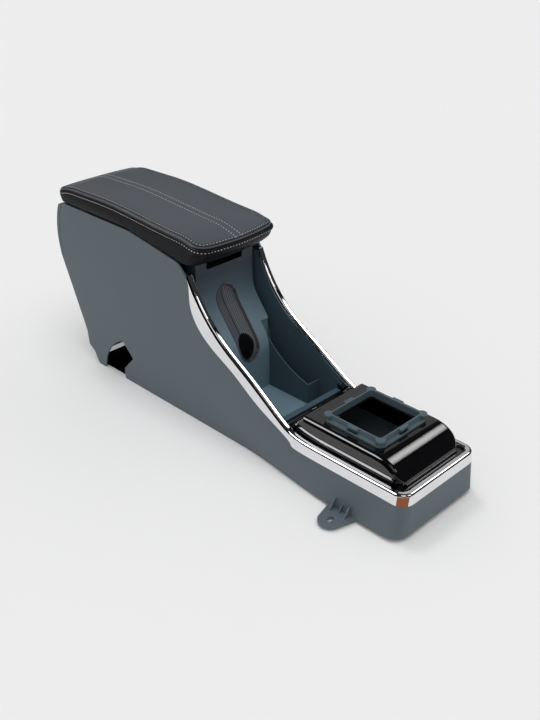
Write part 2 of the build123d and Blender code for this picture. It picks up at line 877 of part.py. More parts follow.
# Handbrake boot: collar, sunk floor with the lever hole, and the lip behind the panel
with BuildPart() as boot_lip_plate:
    with BuildSketch(slot_plane):
        SlotOverall(slot_length + 2 * boot_lip, slot_width + 2 * boot_lip)
    extrude(amount=slot_reach, both=True)
    lip_front = panel_face(-face_sheet - seat_gap, face_top, floor_top, x_rear)
    cut_side_view(lip_front, Mode.INTERSECT)
with BuildPart() as boot_well:
    with BuildSketch(slot_plane):
        SlotOverall(slot_length - 2 * boot_gap - 2 * boot_wall, slot_width - 2 * boot_gap - 2 * boot_wall)
    extrude(amount=slot_reach, both=True)
    cut_side_view(panel_face(-boot_recess, face_top, floor_top, x_rear), Mode.SUBTRACT)
with BuildPart() as handbrake_boot:
    with BuildSketch(slot_plane):
        SlotOverall(slot_length - 2 * boot_gap, slot_width - 2 * boot_gap)
    extrude(amount=slot_reach, both=True)
    cut_side_view(panel_face(boot_proud, face_top, floor_top, x_rear), Mode.INTERSECT)
    add(boot_lip_plate.part)
    cut_side_view(panel_face(-boot_recess - boot_floor, face_top, floor_top, x_rear), Mode.SUBTRACT)
    add(boot_well.part, mode=Mode.SUBTRACT)
    with BuildSketch(slot_plane):
        with Locations((lever_hole_offset, 0)):
            Ellipse(lever_hole_length / 2, lever_hole_width / 2)
    extrude(amount=slot_reach, both=True, mode=Mode.SUBTRACT)
handbrake_boot.part.label = "handbrake_boot"
export_step(handbrake_boot.part, "parts/handbrake_boot.step")

# Rubber stops that the closed lid rests on
with BuildPart() as bump_stops:
    stop_base = face_top + seat_gap
    stop_height = lid_under_height(stop_x + stop_radius) + cover_recess - seat_gap - stop_base
    for side in sides:
        cylinder_along((stop_x, side * stop_y, stop_base), up, stop_radius, stop_height)
    stop_tops = bump_stops.faces().group_by(Axis.Z)[-1]
    fillet(stop_tops.edges(), stop_round)
bump_stops.part.label = "bump_stops"
export_step(bump_stops.part, "parts/bump_stops.step")

# Bright rim strip: outer leg, rounded crown and short inner lip
with BuildPart() as trim_channel:
    body_block(trim_wall)
    body_block(band_inset, mode=Mode.SUBTRACT)
    cut_side_view(beside_curve(crown_curve, -trim_wall, x_rear, -overrun), Mode.INTERSECT)
with BuildPart() as trim_lip_relief:
    body_block(band_inset - seat_gap)
    cut_side_view(beside_curve(crown_curve, -trim_lip, x_rear, -overrun), Mode.INTERSECT)
with BuildPart() as chrome_trim:
    body_block(0)
    cut_side_view(beside_curve(crown_curve, 0, rim_tip[0], -overrun), Mode.INTERSECT)
    body_block(trim_width, mode=Mode.SUBTRACT)
    cut_side_view(beside_curve(rim_curve, 0, x_rear, -overrun), Mode.SUBTRACT)
    crown_faces = chrome_trim.faces().filter_by(lambda face: face.normal_at().Z > crown_upward)
    long_edges = crown_faces.edges().filter_by(lambda edge: edge.length > trim_lip)
    rim_edges = long_edges.filter_by(lambda edge: abs(edge.length - trim_width) > rim_flange)
    fillet(rim_edges, trim_round)
    add(trim_channel.part, mode=Mode.SUBTRACT)
    add(trim_lip_relief.part, mode=Mode.SUBTRACT)
chrome_trim.part.label = "chrome_trim"
export_step(chrome_trim.part, "parts/chrome_trim.step")

# Clips inside the rim strip
with BuildPart() as trim_clips:
    clip_base = rim_height + rim_gap + rim_flange + seat_gap
    clip_height = rim_height + crown_rise - trim_wall - seat_gap - clip_base
    clip_z = clip_base + clip_height / 2
    for side in sides:
        for x in clip_x:
            with Locations((x, side * (rim_front_half - clip_inset), clip_z)):
                Box(clip_length, clip_width, clip_height)
        with Locations((x_front - clip_inset, side * clip_y, clip_z)):
            Box(clip_width, clip_length, clip_height)
trim_clips.part.label = "trim_clips"
export_step(trim_clips.part, "parts/trim_clips.step")

# Skirt, flange and rim plate of the gear lever surround
with BuildPart() as surround_wall:
    body_block(band_inset)
    body_block(trim_width, mode=Mode.SUBTRACT)
    cut_side_view(beside_curve(crown_curve, -trim_lip - seat_gap, x_rear, surround_skirt), Mode.INTERSECT)
    keep_length(surround_rear_x, x_front)
with BuildPart() as surround_flange:
    body_block(flange_inset)
    body_block(trim_width, mode=Mode.SUBTRACT)
    cut_side_view(beside_curve(rim_curve, rim_gap + rim_flange, x_rear, -overrun), Mode.INTERSECT)
    cut_side_view(beside_curve(rim_curve, rim_gap, x_rear, -overrun), Mode.SUBTRACT)
    keep_length(surround_rear_x, x_front)
with BuildPart() as surround_plate:
    body_block(trim_width - liner_wall / 2)
    keep_length(surround_rear_x, x_front)
    keep_height(surround_plate_top - liner_wall, surround_plate_top)

# Hollow under the raised part of the surround
with BuildPart() as surround_hollow:
    extrude(to_extrude=hump_plan(surround_edge), amount=surround_top)
    extrude(to_extrude=hump_profile(liner_wall), amount=surround_half, both=True, mode=Mode.INTERSECT)

# Gloss surround of the gear lever
with BuildPart() as gear_surround:
    extrude(to_extrude=hump_plan(0), amount=surround_top)
    extrude(to_extrude=hump_profile(0), amount=surround_half, both=True, mode=Mode.INTERSECT)
    hump_skin = gear_surround.faces().filter_by(lambda face: face.normal_at().Z > crown_upward)
    flank_from = surround_half - surround_edge
    hump_edges = hump_skin.edges().filter_by(lambda edge: abs(edge.center().Y) > flank_from)
    fillet(hump_edges, surround_edge)
    add(surround_plate.part)
    add(surround_hollow.part, mode=Mode.SUBTRACT)
    add(surround_wall.part)
    add(surround_flange.part)
    with Locations((frame_centre_x, 0, surround_top)):
        Box(surround_opening, surround_opening, 2 * overrun, mode=Mode.SUBTRACT)
    for side in sides:
        for x in surround_screw_x:
            start = (x, side * surround_screw_y, rim_height)
            cylinder_along(start, up, screw_hole_radius, crown_rise, Mode.SUBTRACT)
        for end in sides:
            start = (frame_centre_x + end * post_reach, side * post_reach, surround_top)
            cylinder_along(start, down, screw_hole_radius, overrun, Mode.SUBTRACT)
gear_surround.part.label = "gear_surround"
export_step(gear_surround.part, "parts/gear_surround.step")

# Screws that hold the surround to the shell's ledge
with BuildPart() as surround_screws:
    screw_seat = rim_height + rim_gap + rim_flange
    for side in sides:
        for x in surround_screw_x:
            screw((x, side * surround_screw_y, screw_seat), down, screw_length)
surround_screws.part.label = "surround_screws"
export_step(surround_screws.part, "parts/surround_screws.step")

# Frame that the gear gaiter ties to
with BuildPart() as gaiter_frame:
    frame_base = surround_top + seat_gap
    frame_outer = frame_opening + 2 * frame_wall
    flange_outer = frame_outer + 2 * frame_flange
    with BuildSketch(Plane.XY.offset(frame_base)):
        with Locations((frame_centre_x, 0)):
            RectangleRounded(flange_outer, flange_outer, frame_corner + frame_flange)
            Rectangle(frame_outer + 2 * lug_reach, lug_length, mode=Mode.SUBTRACT)
            Rectangle(lug_length, frame_outer + 2 * lug_reach, mode=Mode.SUBTRACT)
    extrude(amount=frame_flange_height)
    with BuildSketch(Plane.XY.offset(frame_base)):
        with Locations((frame_centre_x, 0)):
            RectangleRounded(frame_outer, frame_outer, frame_corner + frame_wall)
    extrude(amount=frame_height)
    with BuildSketch(Plane.XY.offset(frame_base + frame_height - lug_height)):
        with Locations((frame_centre_x, 0)):
            Rectangle(frame_outer + 2 * lug_reach, lug_length)
            Rectangle(lug_length, frame_outer + 2 * lug_reach)
            with GridLocations(2 * post_reach, 2 * post_reach, 2, 2):
                Circle(knob_radius)
    extrude(amount=lug_height)
    with BuildSketch(Plane.XY.offset(frame_base)):
        with Locations((frame_centre_x, 0)):
            with GridLocations(2 * post_reach, 2 * post_reach, 2, 2):
                Circle(post_radius)
    extrude(amount=frame_height)
    with BuildSketch(Plane.XY.offset(frame_base)):
        with Locations((frame_centre_x, 0)):
            RectangleRounded(frame_opening, frame_opening, frame_corner)
    extrude(amount=frame_height, mode=Mode.SUBTRACT)
    for side in sides:
        for end in sides:
            start = (frame_centre_x + end * post_reach, side * post_reach, frame_base)
            cylinder_along(start, up, boss_hole_radius, frame_screw_length, Mode.SUBTRACT)
gaiter_frame.part.label = "gaiter_frame"
export_step(gaiter_frame.part, "parts/gaiter_frame.step")

# Screws that hold the gaiter frame from inside the surround
with BuildPart() as gaiter_frame_screws:
    for side in sides:
        for end in sides:
            seat = (frame_centre_x + end * post_reach, side * post_reach, surround_top - liner_wall)
            screw(seat, up, frame_screw_length)
gaiter_frame_screws.part.label = "gaiter_frame_screws"
export_step(gaiter_frame_screws.part, "parts/gaiter_frame_screws.step")

# Pegs under the front corners that find holes in the car floor
with BuildPart() as locating_pegs:
    peg_foot = peg_shelf_height - seat_gap
    peg_top = peg_shelf_height + peg_shelf_thickness + seat_gap
    for side in sides:
        cylinder_along((peg_x, side * peg_y, 0), up, peg_radius, peg_foot)
        cylinder_along((peg_x, side * peg_y, 0), up, peg_neck_radius, peg_top)
        cylinder_along((peg_x, side * peg_y, peg_top), up, peg_head_radius, peg_head_height)
    peg_tips = locating_pegs.faces().group_by(Axis.Z)[0]
    chamfer(peg_tips.edges(), peg_radius / 3)
locating_pegs.part.label = "locating_pegs"
export_step(locating_pegs.part, "parts/locating_pegs.step")

# Fixed half of the lid hinge, standing on the storage bin's flange
with BuildPart() as hinge_bracket:
    bracket_top = hinge_z - barrel_radius + plate_thickness
    bracket_web_x = hinge_x + bracket_step
    bracket_base = bin_top + seat_gap
    with BuildSketch(Plane.XZ):
        with BuildLine():
            Polyline(
                (hinge_x, bracket_top),
                (bracket_web_x, bracket_top),
                (bracket_web_x, bracket_base + plate_thickness),
                (bracket_web_x + bracket_foot, bracket_base + plate_thickness),
                (bracket_web_x + bracket_foot, bracket_base),
                (bracket_web_x - plate_thickness, bracket_base),
                (bracket_web_x - plate_thickness, bracket_top - plate_thickness),
                (hinge_x, bracket_top - plate_thickness),
                close=True,
            )
        make_face()
    extrude(amount=knuckle_outer, both=True)
    with Locations((hinge_x, 0, hinge_z)):
        Box(2 * (bracket_step - plate_thickness), 2 * knuckle_split, 4 * barrel_radius, mode=Mode.SUBTRACT)
    for side in sides:
        start = (hinge_x, side * knuckle_split, hinge_z)
        cylinder_along(start, (0, side, 0), barrel_radius, knuckle_outer - knuckle_split)
        cylinder_along(start, (0, side, 0), pin_radius + pin_clearance, knuckle_outer, Mode.SUBTRACT)
        start = (bracket_screw_x, side * bracket_screw_y, bracket_base)
        cylinder_along(start, up, screw_hole_radius, plate_thickness, Mode.SUBTRACT)
hinge_bracket.part.label = "hinge_bracket"
export_step(hinge_bracket.part, "parts/hinge_bracket.step")

# Screws that hold the hinge bracket to the storage bin
with BuildPart() as bracket_screws:
    for side in sides:
        seat = (bracket_screw_x, side * bracket_screw_y, bracket_base + plate_thickness)
        screw(seat, down, screw_length)
bracket_screws.part.label = "bracket_screws"
export_step(bracket_screws.part, "parts/bracket_screws.step")

# Hinge pin
with BuildPart() as hinge_pin:
    pin_half = knuckle_outer + pin_end
    cylinder_along((hinge_x, -pin_half, hinge_z), (0, 1, 0), pin_radius, 2 * pin_half)
hinge_pin.part.label = "hinge_pin"
export_step(hinge_pin.part, "parts/hinge_pin.step")

# Ring clips on the ends of the hinge pin
with BuildPart() as pin_clips:
    for side in sides:
        start = (hinge_x, side * (knuckle_outer + seat_gap), hinge_z)
        cylinder_along(start, (0, side, 0), pin_clip_radius, pin_clip_thickness)
        cylinder_along(start, (0, side, 0), pin_radius + thread_gap, pin_clip_thickness, Mode.SUBTRACT)
pin_clips.part.label = "pin_clips"
export_step(pin_clips.part, "parts/pin_clips.step")

# Armrest pad: crowned top, rounded nose, hollow underneath for its board and cover
with BuildPart() as pad_crown:
    crown_axis_height = lid_top_crest[1] - lid_crown_radius
    with BuildSketch(Plane.XZ):
        with BuildLine():
            top = Spline(
                (lid_rear_x, lid_rear_height),
                lid_top_rear,
                lid_top_swell,
                lid_top_crest,
                lid_top_middle,
                lid_top_fall,
                lid_top_front,
                (lid_front_x, lid_front_top),
            )
            Polyline(
                top @ 1,
                (lid_front_x + overrun, lid_front_top - overrun),
                (lid_front_x + overrun, lid_front_bottom - overrun),
                (lid_rear_x - overrun, lid_front_bottom - overrun),
                (lid_rear_x - overrun, lid_rear_height - overrun),
                top @ 0,
            )
        make_face()
    revolve(axis=Axis((0, 0, crown_axis_height), (1, 0, 0)))
with BuildPart() as armrest_pad:
    nose_foot = lid_outline(0, lid_nose_foot_inset, 0, lid_front_bottom)
    nose_low = lid_outline(0, lid_nose_low_inset, 0, lid_nose_low)
    nose_full = lid_outline(0, 0, 0, lid_nose_height)
    loft(sections=[nose_foot, nose_low, nose_full])
    lid_plan(0, 0, 0, lid_nose_height, lid_top_crest[1] + overrun)
    cut_side_view(lid_above_face(0, lid_top_crest[1] + overrun), Mode.INTERSECT)
    add(pad_crown.part, mode=Mode.INTERSECT)
    crown_edges = armrest_pad.faces().sort_by(SortBy.AREA)[-1].edges()
    fillet(crown_edges, lid_edge_round)
    hollow_foot = lid_front_bottom - overrun
    lid_plan(pad_side, pad_front, pad_side, hollow_foot, carrier_top + layer_gap, Mode.SUBTRACT)
    notch_top = hinge_z + barrel_radius + hinge_notch
    with Locations((lid_rear_x, 0, notch_top - overrun / 2)):
        Box(2 * hinge_notch_depth, 2 * hinge_notch_half, overrun, mode=Mode.SUBTRACT)
armrest_pad.part.label = "armrest_pad"
export_step(armrest_pad.part, "parts/armrest_pad.step")

# Board that the pad is wrapped on, with the bosses its screws bite into
with BuildPart() as lid_carrier:
    carrier_inset = pad_side + layer_gap
    carrier_base = carrier_top - carrier_thickness
    lid_plan(carrier_inset, pad_front + layer_gap, carrier_inset, carrier_base, carrier_top)
    cover_floor = cover_recess + cover_wall
    for side in sides:
        for x in cover_screw_x:
            boss_foot = lid_under_height(x) + cover_floor + screw_seat_depth
            start = (x, side * cover_screw_y, boss_foot)
            cylinder_along(start, up, boss_radius, carrier_base - boss_foot)
            cylinder_along(start, up, boss_hole_radius, screw_length, Mode.SUBTRACT)
        for reach in (leaf_screw_near, leaf_screw_far):
            boss_foot = lid_bottom + cover_floor + seat_gap
            start = (hinge_x + reach, side * leaf_screw_y, boss_foot)
            cylinder_along(start, up, boss_radius, carrier_base - boss_foot)
            cylinder_along(start, up, boss_hole_radius, screw_length, Mode.SUBTRACT)
lid_carrier.part.label = "lid_carrier"
export_step(lid_carrier.part, "parts/lid_carrier.step")

# Inside of the lid's lower cover
with BuildPart() as cover_hollow:
    hollow_inset = carrier_inset + cover_wall
    cover_front = pad_front + layer_gap + cover_wall
    lid_plan(hollow_inset, cover_front, cover_rear_inset + cover_wall, lid_front_bottom, carrier_top)
    cut_side_view(lid_above_face(cover_floor, carrier_top), Mode.INTERSECT)

# Moulded underside of the lid
with BuildPart() as lid_lower_cover:
    cover_top = carrier_base - layer_gap
    lid_plan(carrier_inset, pad_front + layer_gap, cover_rear_inset, lid_front_bottom, cover_top)
    cut_side_view(lid_above_face(cover_recess, cover_top), Mode.INTERSECT)
    add(cover_hollow.part, mode=Mode.SUBTRACT)
    for side in sides:
        for x in cover_screw_x:
            seat = lid_under_height(x) + cover_recess + screw_seat_depth
            start = (x, side * cover_screw_y, seat)
            cylinder_along(start, down, screw_head_radius + seat_gap, overrun, Mode.SUBTRACT)
            cylinder_along(start, up, screw_hole_radius, cover_floor + screw_seat_depth, Mode.SUBTRACT)
        for reach in (leaf_screw_near, leaf_screw_far):
            start = (hinge_x + reach, side * leaf_screw_y, lid_bottom)
            cylinder_along(start, up, screw_hole_radius, cover_floor, Mode.SUBTRACT)
lid_lower_cover.part.label = "lid_lower_cover"
export_step(lid_lower_cover.part, "parts/lid_lower_cover.step")

# Screws that hold the lower cover to the board
with BuildPart() as cover_screws:
    for side in sides:
        for x in cover_screw_x:
            seat = lid_under_height(x) + cover_recess + screw_seat_depth
            screw((x, side * cover_screw_y, seat), up, screw_length)
cover_screws.part.label = "cover_screws"
export_step(cover_screws.part, "parts/cover_screws.step")

# Moving half of the lid hinge
with BuildPart() as hinge_leaf:
    leaf_top = lid_bottom + cover_recess - seat_gap
    leaf_half = knuckle_split - knuckle_gap
    with Locations((hinge_x + leaf_length / 2, 0, leaf_top - plate_thickness / 2)):
        Box(leaf_length, 2 * leaf_half, plate_thickness)
    for side in sides:
        start = (hinge_x, side * knuckle_inner, hinge_z)
        cylinder_along(start, (0, side, 0), barrel_radius, leaf_half - knuckle_inner)
        cylinder_along(start, (0, side, 0), pin_radius + pin_clearance, knuckle_outer, Mode.SUBTRACT)
        for reach in (leaf_screw_near, leaf_screw_far):
            start = (hinge_x + reach, side * leaf_screw_y, leaf_top)
            cylinder_along(start, down, screw_hole_radius, plate_thickness, Mode.SUBTRACT)
    leaf_clearance = barrel_radius + knuckle_gap
    with Locations((hinge_x, 0, hinge_z)):
        Box(2 * leaf_clearance, 2 * knuckle_inner, 2 * leaf_clearance, mode=Mode.SUBTRACT)
hinge_leaf.part.label = "hinge_leaf"
export_step(hinge_leaf.part, "parts/hinge_leaf.step")

# Screws that hold the hinge leaf to the board
with BuildPart() as leaf_screws:
    for side in sides:
        for reach in (leaf_screw_near, leaf_screw_far):
            seat = (hinge_x + reach, side * leaf_screw_y, leaf_top - plate_thickness)
            screw(seat, up, screw_length)
leaf_screws.part.label = "leaf_screws"
export_step(leaf_screws.part, "parts/leaf_screws.step")
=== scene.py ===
"""Looks of a car centre console with a padded armrest lid."""

import json
import math

import bmesh
import bpy
import numpy as np
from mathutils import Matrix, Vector
from mathutils.bvhtree import BVHTree


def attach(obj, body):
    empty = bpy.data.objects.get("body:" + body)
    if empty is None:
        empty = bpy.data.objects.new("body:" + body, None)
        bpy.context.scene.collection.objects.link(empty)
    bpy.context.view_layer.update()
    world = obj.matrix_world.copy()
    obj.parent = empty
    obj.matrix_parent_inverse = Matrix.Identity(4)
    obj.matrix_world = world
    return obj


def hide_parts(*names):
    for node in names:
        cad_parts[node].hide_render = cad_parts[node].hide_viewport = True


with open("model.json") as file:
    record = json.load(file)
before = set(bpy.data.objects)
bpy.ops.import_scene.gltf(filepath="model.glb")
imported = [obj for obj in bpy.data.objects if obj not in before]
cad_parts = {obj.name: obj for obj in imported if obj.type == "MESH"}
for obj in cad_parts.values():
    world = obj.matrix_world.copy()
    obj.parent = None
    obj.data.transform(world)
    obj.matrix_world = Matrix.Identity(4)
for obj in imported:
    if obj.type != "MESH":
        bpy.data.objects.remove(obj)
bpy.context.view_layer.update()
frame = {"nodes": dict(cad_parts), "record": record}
nodes = frame["nodes"]
scene = bpy.context.scene

# Sizes of the armrest lid, in metres, as in the part's source
lid_rear = -0.4075
lid_front = -0.004
lid_half = 0.088
lid_bow = 0.012
lid_front_corner = 0.026
lid_rear_corner = 0.014
edge_round = 0.008

# Soft fullness of the lid's ends beyond the foam's plain form
rear_fullness = 0.0055
nose_lean = 0.008
nose_reach = 0.003
nose_drop = 0.004
crown_flatten = 0.003
corner_fullness = 0.0022

# How far in from the lid's ends and middle that fullness reaches
rear_run = 0.03
nose_run = (0.05, 0.012)
nose_drop_run = (0.06, 0.006)
corner_run = (0.045, 0.012)
corner_across = (0.05, 0.075)

# Heights between which it sets in or fades
upper_rise = (0.325, 0.337)
nose_tuck_from = 0.326
nose_tuck_to = 0.304
rear_swell_rise = (0.327, 0.338)
rear_swell_fall = (0.346, 0.356)
rear_swell_loss = 0.5
nose_drop_rise = (0.330, 0.342)
crown_rise = (0.340, 0.352)

# Mesh of the pad's cover, and where cloth pressure can't move it
pad_voxel = 0.0035
swell_limit = 0.0022
cloth_frames = 20
piping_hold = 0.005
centre_hold = 0.004
centre_hold_facing = 0.2
held_below = 0.3245
skin_depth = 0.003
nose_skin_depth = 0.022
top_skin_from = 0.3415
top_skin_facing = 0.3

# Sewing lines on the lid
path_step = 0.002
arc_points = 60
ray_run = 0.05
above_lid = 0.38
top_row_inset = 0.0098
far_row_shift = 0.005
far_side_turn = (0.2, 0.9)
lower_row_drop = 0.0062
centre_row_half = 0.0066
centre_row_rear_gap = 0.006
centre_row_front_gap = 0.002
seam_reach = 0.03

# How deep and how wide the leather dips along them
piping_dip = (0.0016, 0.0026)
row_dip = (0.0005, 0.0016)
centre_seam_dip = (0.0008, 0.0018)
centre_row_dip = (0.0004, 0.0016)
centre_facing = 0.4

# Dark tones of the leather: below the piping, and painted shade in its grooves
band_fade = 0.007
band_above_share = 0.85
band_margin = 0.0002
groove_from_piping = 0.0034
groove_shade = (1.0, 0.0013)
row_shade = (0.35, 0.0016)

# Thread and piping
stitch_pitch = 0.0062
stitch_length = 0.0034
thread_radius = 0.0007
bead_segments = 8
bead_rings = 6
piping_radius = 0.0017
piping_sides = 10

# Stand-ins for moulded nodes, with angles in degrees
join_distance = 0.00001
flat_angle = 0.5
sharp_angle = 30

# Part of the tray between its divider and its near wall, up to its sill, whose floor is painted
# lit
tray_middle_half = 0.0455
tray_floor_limit = 0.0462
tray_sill_from = 0.1455

# Slope of the handbrake boot, and where its weave and its split line lie
boot_run = 0.61
boot_fall = 0.793
weave_from = 0.0045
split_from = 0.0052
split_half = 0.0011

# Grain of the mouldings
drift_scale = 11.0
drift_share = 0.7
pebble_share = 0.3
grain_strength = 0.55

# Studio: floor, a dark sheet of painted shade under the console, and the room's light
floor_reach = 30.0
floor_drop = 0.0005
shade_sheet_half = 0.072
shade_sheet_front = 0.40
shade_sheet_rear = -0.345
shade_sheet_heel = -0.362
shade_sheet_heel_half = 0.05
room_light = 0.48
mirrored_room = 0.035
box_target = (0.2, 0.0, 0.1)
card_lift = 0.001
white = (1, 1, 1, 1)
black = (0, 0, 0, 1)
square = ((-1, -1), (1, -1), (1, 1), (-1, 1))

# Camera, with angles in degrees
camera_place = (1.0485, -0.9960, 0.9259)
camera_dip = 29.467
camera_heading = 134.806
camera_lens = 47
sensor_width = 36


def srgb(red, green, blue):
    """A colour read on a screen, 0 to 255, as the linear values a shader takes."""
    linear = []
    for value in (red, green, blue):
        share = value / 255
        linear.append(share / 12.92 if share <= 0.04045 else ((share + 0.055) / 1.055) ** 2.4)
    return (*linear, 1.0)


class Wire:
    """One value inside a finish. Arithmetic on it adds Math nodes."""

    def __init__(self, finish, socket):
        self.finish = finish
        self.socket = socket

    def math(self, operation, first, second):
        return self.finish.node("ShaderNodeMath", {"operation": operation}, {0: first, 1: second})

    def __add__(self, other):
        return self.math("ADD", self, other)

    def __radd__(self, other):
        return self.math("ADD", other, self)

    def __sub__(self, other):
        return self.math("SUBTRACT", self, other)

    def __rsub__(self, other):
        return self.math("SUBTRACT", other, self)

    def __mul__(self, other):
        return self.math("MULTIPLY", self, other)

    def __rmul__(self, other):
        return self.math("MULTIPLY", other, self)

    def __gt__(self, other):
        return self.math("GREATER_THAN", self, other)

    def __lt__(self, other):
        return self.math("LESS_THAN", self, other)

    def sine(self):
        return self.math("SINE", self, 0.0)

    def size(self):
        return self.math("ABSOLUTE", self, 0.0)


class Finish:
    """A material being made."""

    def __init__(self, name, roughness, metallic=0.0):
        self.material = bpy.data.materials.new(name)
        self.material.use_nodes = True
        self.tree = self.material.node_tree
        self.shader = self.tree.nodes["Principled BSDF"]
        self.set("Roughness", roughness)
        self.set("Metallic", metallic)

    def node(self, kind, settings=None, inputs=None, output=0):
        made = self.tree.nodes.new(kind)
        for key, value in (settings or {}).items():
            if key == "stops":
                for element, (place, colour) in zip(made.color_ramp.elements, value):
                    element.position = place
                    element.color = colour
            else:
                setattr(made, key, value)
        for key, value in (inputs or {}).items():
            self.feed(made.inputs[key], value)
        return Wire(self, made.outputs[output])

    def feed(self, socket, value):
        if isinstance(value, Wire):
            self.tree.links.new(value.socket, socket)
        else:
            socket.default_value = value

    def set(self, name, value):
        self.feed(self.shader.inputs[name], value)

    def place(self):
        return self.node("ShaderNodeTexCoord", output="Object")

    def axes(self):
        split = self.node("ShaderNodeSeparateXYZ", inputs={0: self.place()})
        owner = split.socket.node
        return [Wire(self, socket) for socket in owner.outputs]

    def noise(self, scale, detail=2.0, roughness=0.5):
        inputs = {"Vector": self.place(), "Scale": scale, "Detail": detail, "Roughness": roughness}
        return self.node("ShaderNodeTexNoise", inputs=inputs)

    def mix(self, share, first, second):
        settings = {"data_type": "RGBA"}
        return self.node("ShaderNodeMix", settings, {0: share, 6: first, 7: second}, output=2)

    def ramp(self, value, low, high):
        settings = {"stops": ((low, black), (high, white))}
        return self.node("ShaderNodeValToRGB", settings, {0: value})

    def grey(self, colour):
        return self.node("ShaderNodeRGBToBW", inputs={0: colour})

    def attribute(self, name):
        return self.node("ShaderNodeAttribute", {"attribute_name": name}, output="Fac")

    def bump(self, height, distance, strength):
        inputs = {"Strength": strength, "Distance": distance, "Height": height}
        self.set("Normal", self.node("ShaderNodeBump", inputs=inputs))


def shade(colour, factor):
    """The same colour, lighter or darker."""
    return (*[channel * factor for channel in colour[:3]], 1.0)


def moulded_plastic(name, colour, roughness, grain_scale, grain_depth, gloss=0.5):
    """Grained moulding: a fine pebble in the tool, with slow drifts of tone and sheen."""
    finish = Finish(name, roughness)
    drift = finish.noise(drift_scale, detail=3.0)
    pebble = finish.noise(grain_scale, detail=3.0, roughness=0.6)
    speck = finish.noise(grain_scale * 0.4, detail=1.0)
    tone = drift * drift_share + pebble * pebble_share
    finish.set("Base Color", finish.mix(tone, shade(colour, 0.90), shade(colour, 1.09)))
    finish.set("Roughness", roughness - 0.06 + drift * 0.07 + speck * 0.06)
    finish.set("Specular IOR Level", gloss)
    finish.bump(pebble * 0.7 + speck * 0.3, distance=grain_depth, strength=grain_strength)
    return finish.material


def tray_plastic(name, lit_share, dark, pale):
    """Grained tray moulding with painted light and shade: a shaded or a lit tone, by a share that
    is set from the place on it.
    """
    finish = Finish(name, 0.5)
    drift = finish.noise(drift_scale, detail=3.0)
    pebble = finish.noise(900.0, detail=3.0, roughness=0.6)
    tone = drift * drift_share + pebble * pebble_share
    shaded_tone = finish.mix(tone, shade(dark, 0.92), shade(dark, 1.08))
    lit_tone = finish.mix(tone, shade(pale, 0.92), shade(pale, 1.08))
    finish.set("Base Color", finish.mix(lit_share(finish), shaded_tone, lit_tone))
    finish.set("Roughness", 0.46 + drift * 0.1)
    finish.set("Specular IOR Level", 0.35)
    finish.bump(pebble, distance=0.0003, strength=grain_strength)
    return finish.material


def lit_tray_floor_share(finish):
    """Painted light: 1 on the tray's floor beside the divider, painted lit, and 0 on its walls,
    sill and pocket, painted in shade.
    """
    x, y, z = finish.axes()
    return (y.size() < tray_middle_half) * (x < tray_sill_from) * (z < tray_floor_limit)


def out_of_lid_shadow_share(finish):
    """Painted shadow of the lid: 1 on the lower part of the sloped panel, painted lit, falling to
    0 where the lid would shade it.
    """
    height = finish.axes()[2]
    return 1.0 - finish.grey(finish.ramp(height * 2.0, 0.34, 0.54))


def plated_trim():
    """Bright plating with the faint smears of handling."""
    finish = Finish("bright_plating", 0.05, metallic=1.0)
    smear = finish.noise(26.0, detail=4.0, roughness=0.6)
    finish.set("Base Color", finish.mix(smear, srgb(226, 226, 229), srgb(240, 240, 242)))
    finish.set("Roughness", 0.025 + smear * 0.05)
    ripple = finish.noise(40.0, detail=1.0)
    finish.bump(ripple, distance=0.0004, strength=0.06)
    return finish.material


def polished_black():
    """Deep black lacquer-like moulding with a hard clear coat."""
    finish = Finish("polished_black", 0.09)
    haze = finish.noise(18.0, detail=4.0, roughness=0.6)
    dust = finish.noise(900.0)
    finish.set("Base Color", finish.mix(haze, srgb(5, 5, 7), srgb(11, 11, 13)))
    finish.set("Roughness", 0.05 + haze * 0.05 + dust * 0.02)
    finish.set("Coat Weight", 0.3 + haze * 0.2)
    finish.set("Coat Roughness", 0.05)
    flow = finish.noise(14.0, detail=1.0)
    finish.bump(flow, distance=0.0006, strength=0.05)
    return finish.material


def zinc_steel(name, tone):
    """Zinc plated steel with rolling marks."""
    finish = Finish(name, 0.35, metallic=1.0)
    x, y, z = finish.axes()
    rolled = {0: x * 60.0, 1: y * 1400.0, 2: z * 1400.0}
    stretched = finish.node("ShaderNodeCombineXYZ", inputs=rolled)
    fine = {"Vector": stretched, "Scale": 1.0, "Detail": 3.0}
    marks = finish.node("ShaderNodeTexNoise", inputs=fine)
    cloud = finish.noise(70.0, detail=3.0)
    dull_tone = srgb(tone - 22, tone - 20, tone - 18)
    finish.set("Base Color", finish.mix(cloud, dull_tone, srgb(tone, tone, tone + 2)))
    finish.set("Roughness", 0.28 + marks * 0.2)
    finish.bump(marks, distance=0.0001, strength=0.25)
    return finish.material


def moulded_rubber(name, colour):
    """Plain rubber with a soft bloom."""
    finish = Finish(name, 0.75)
    bloom = finish.noise(35.0, detail=4.0)
    grit = finish.noise(1500.0)
    finish.set("Base Color", finish.mix(bloom, shade(colour, 0.8), shade(colour, 1.3)))
    finish.set("Roughness", 0.68 + bloom * 0.15)
    finish.bump(grit, distance=0.0002, strength=0.4)
    return finish.material


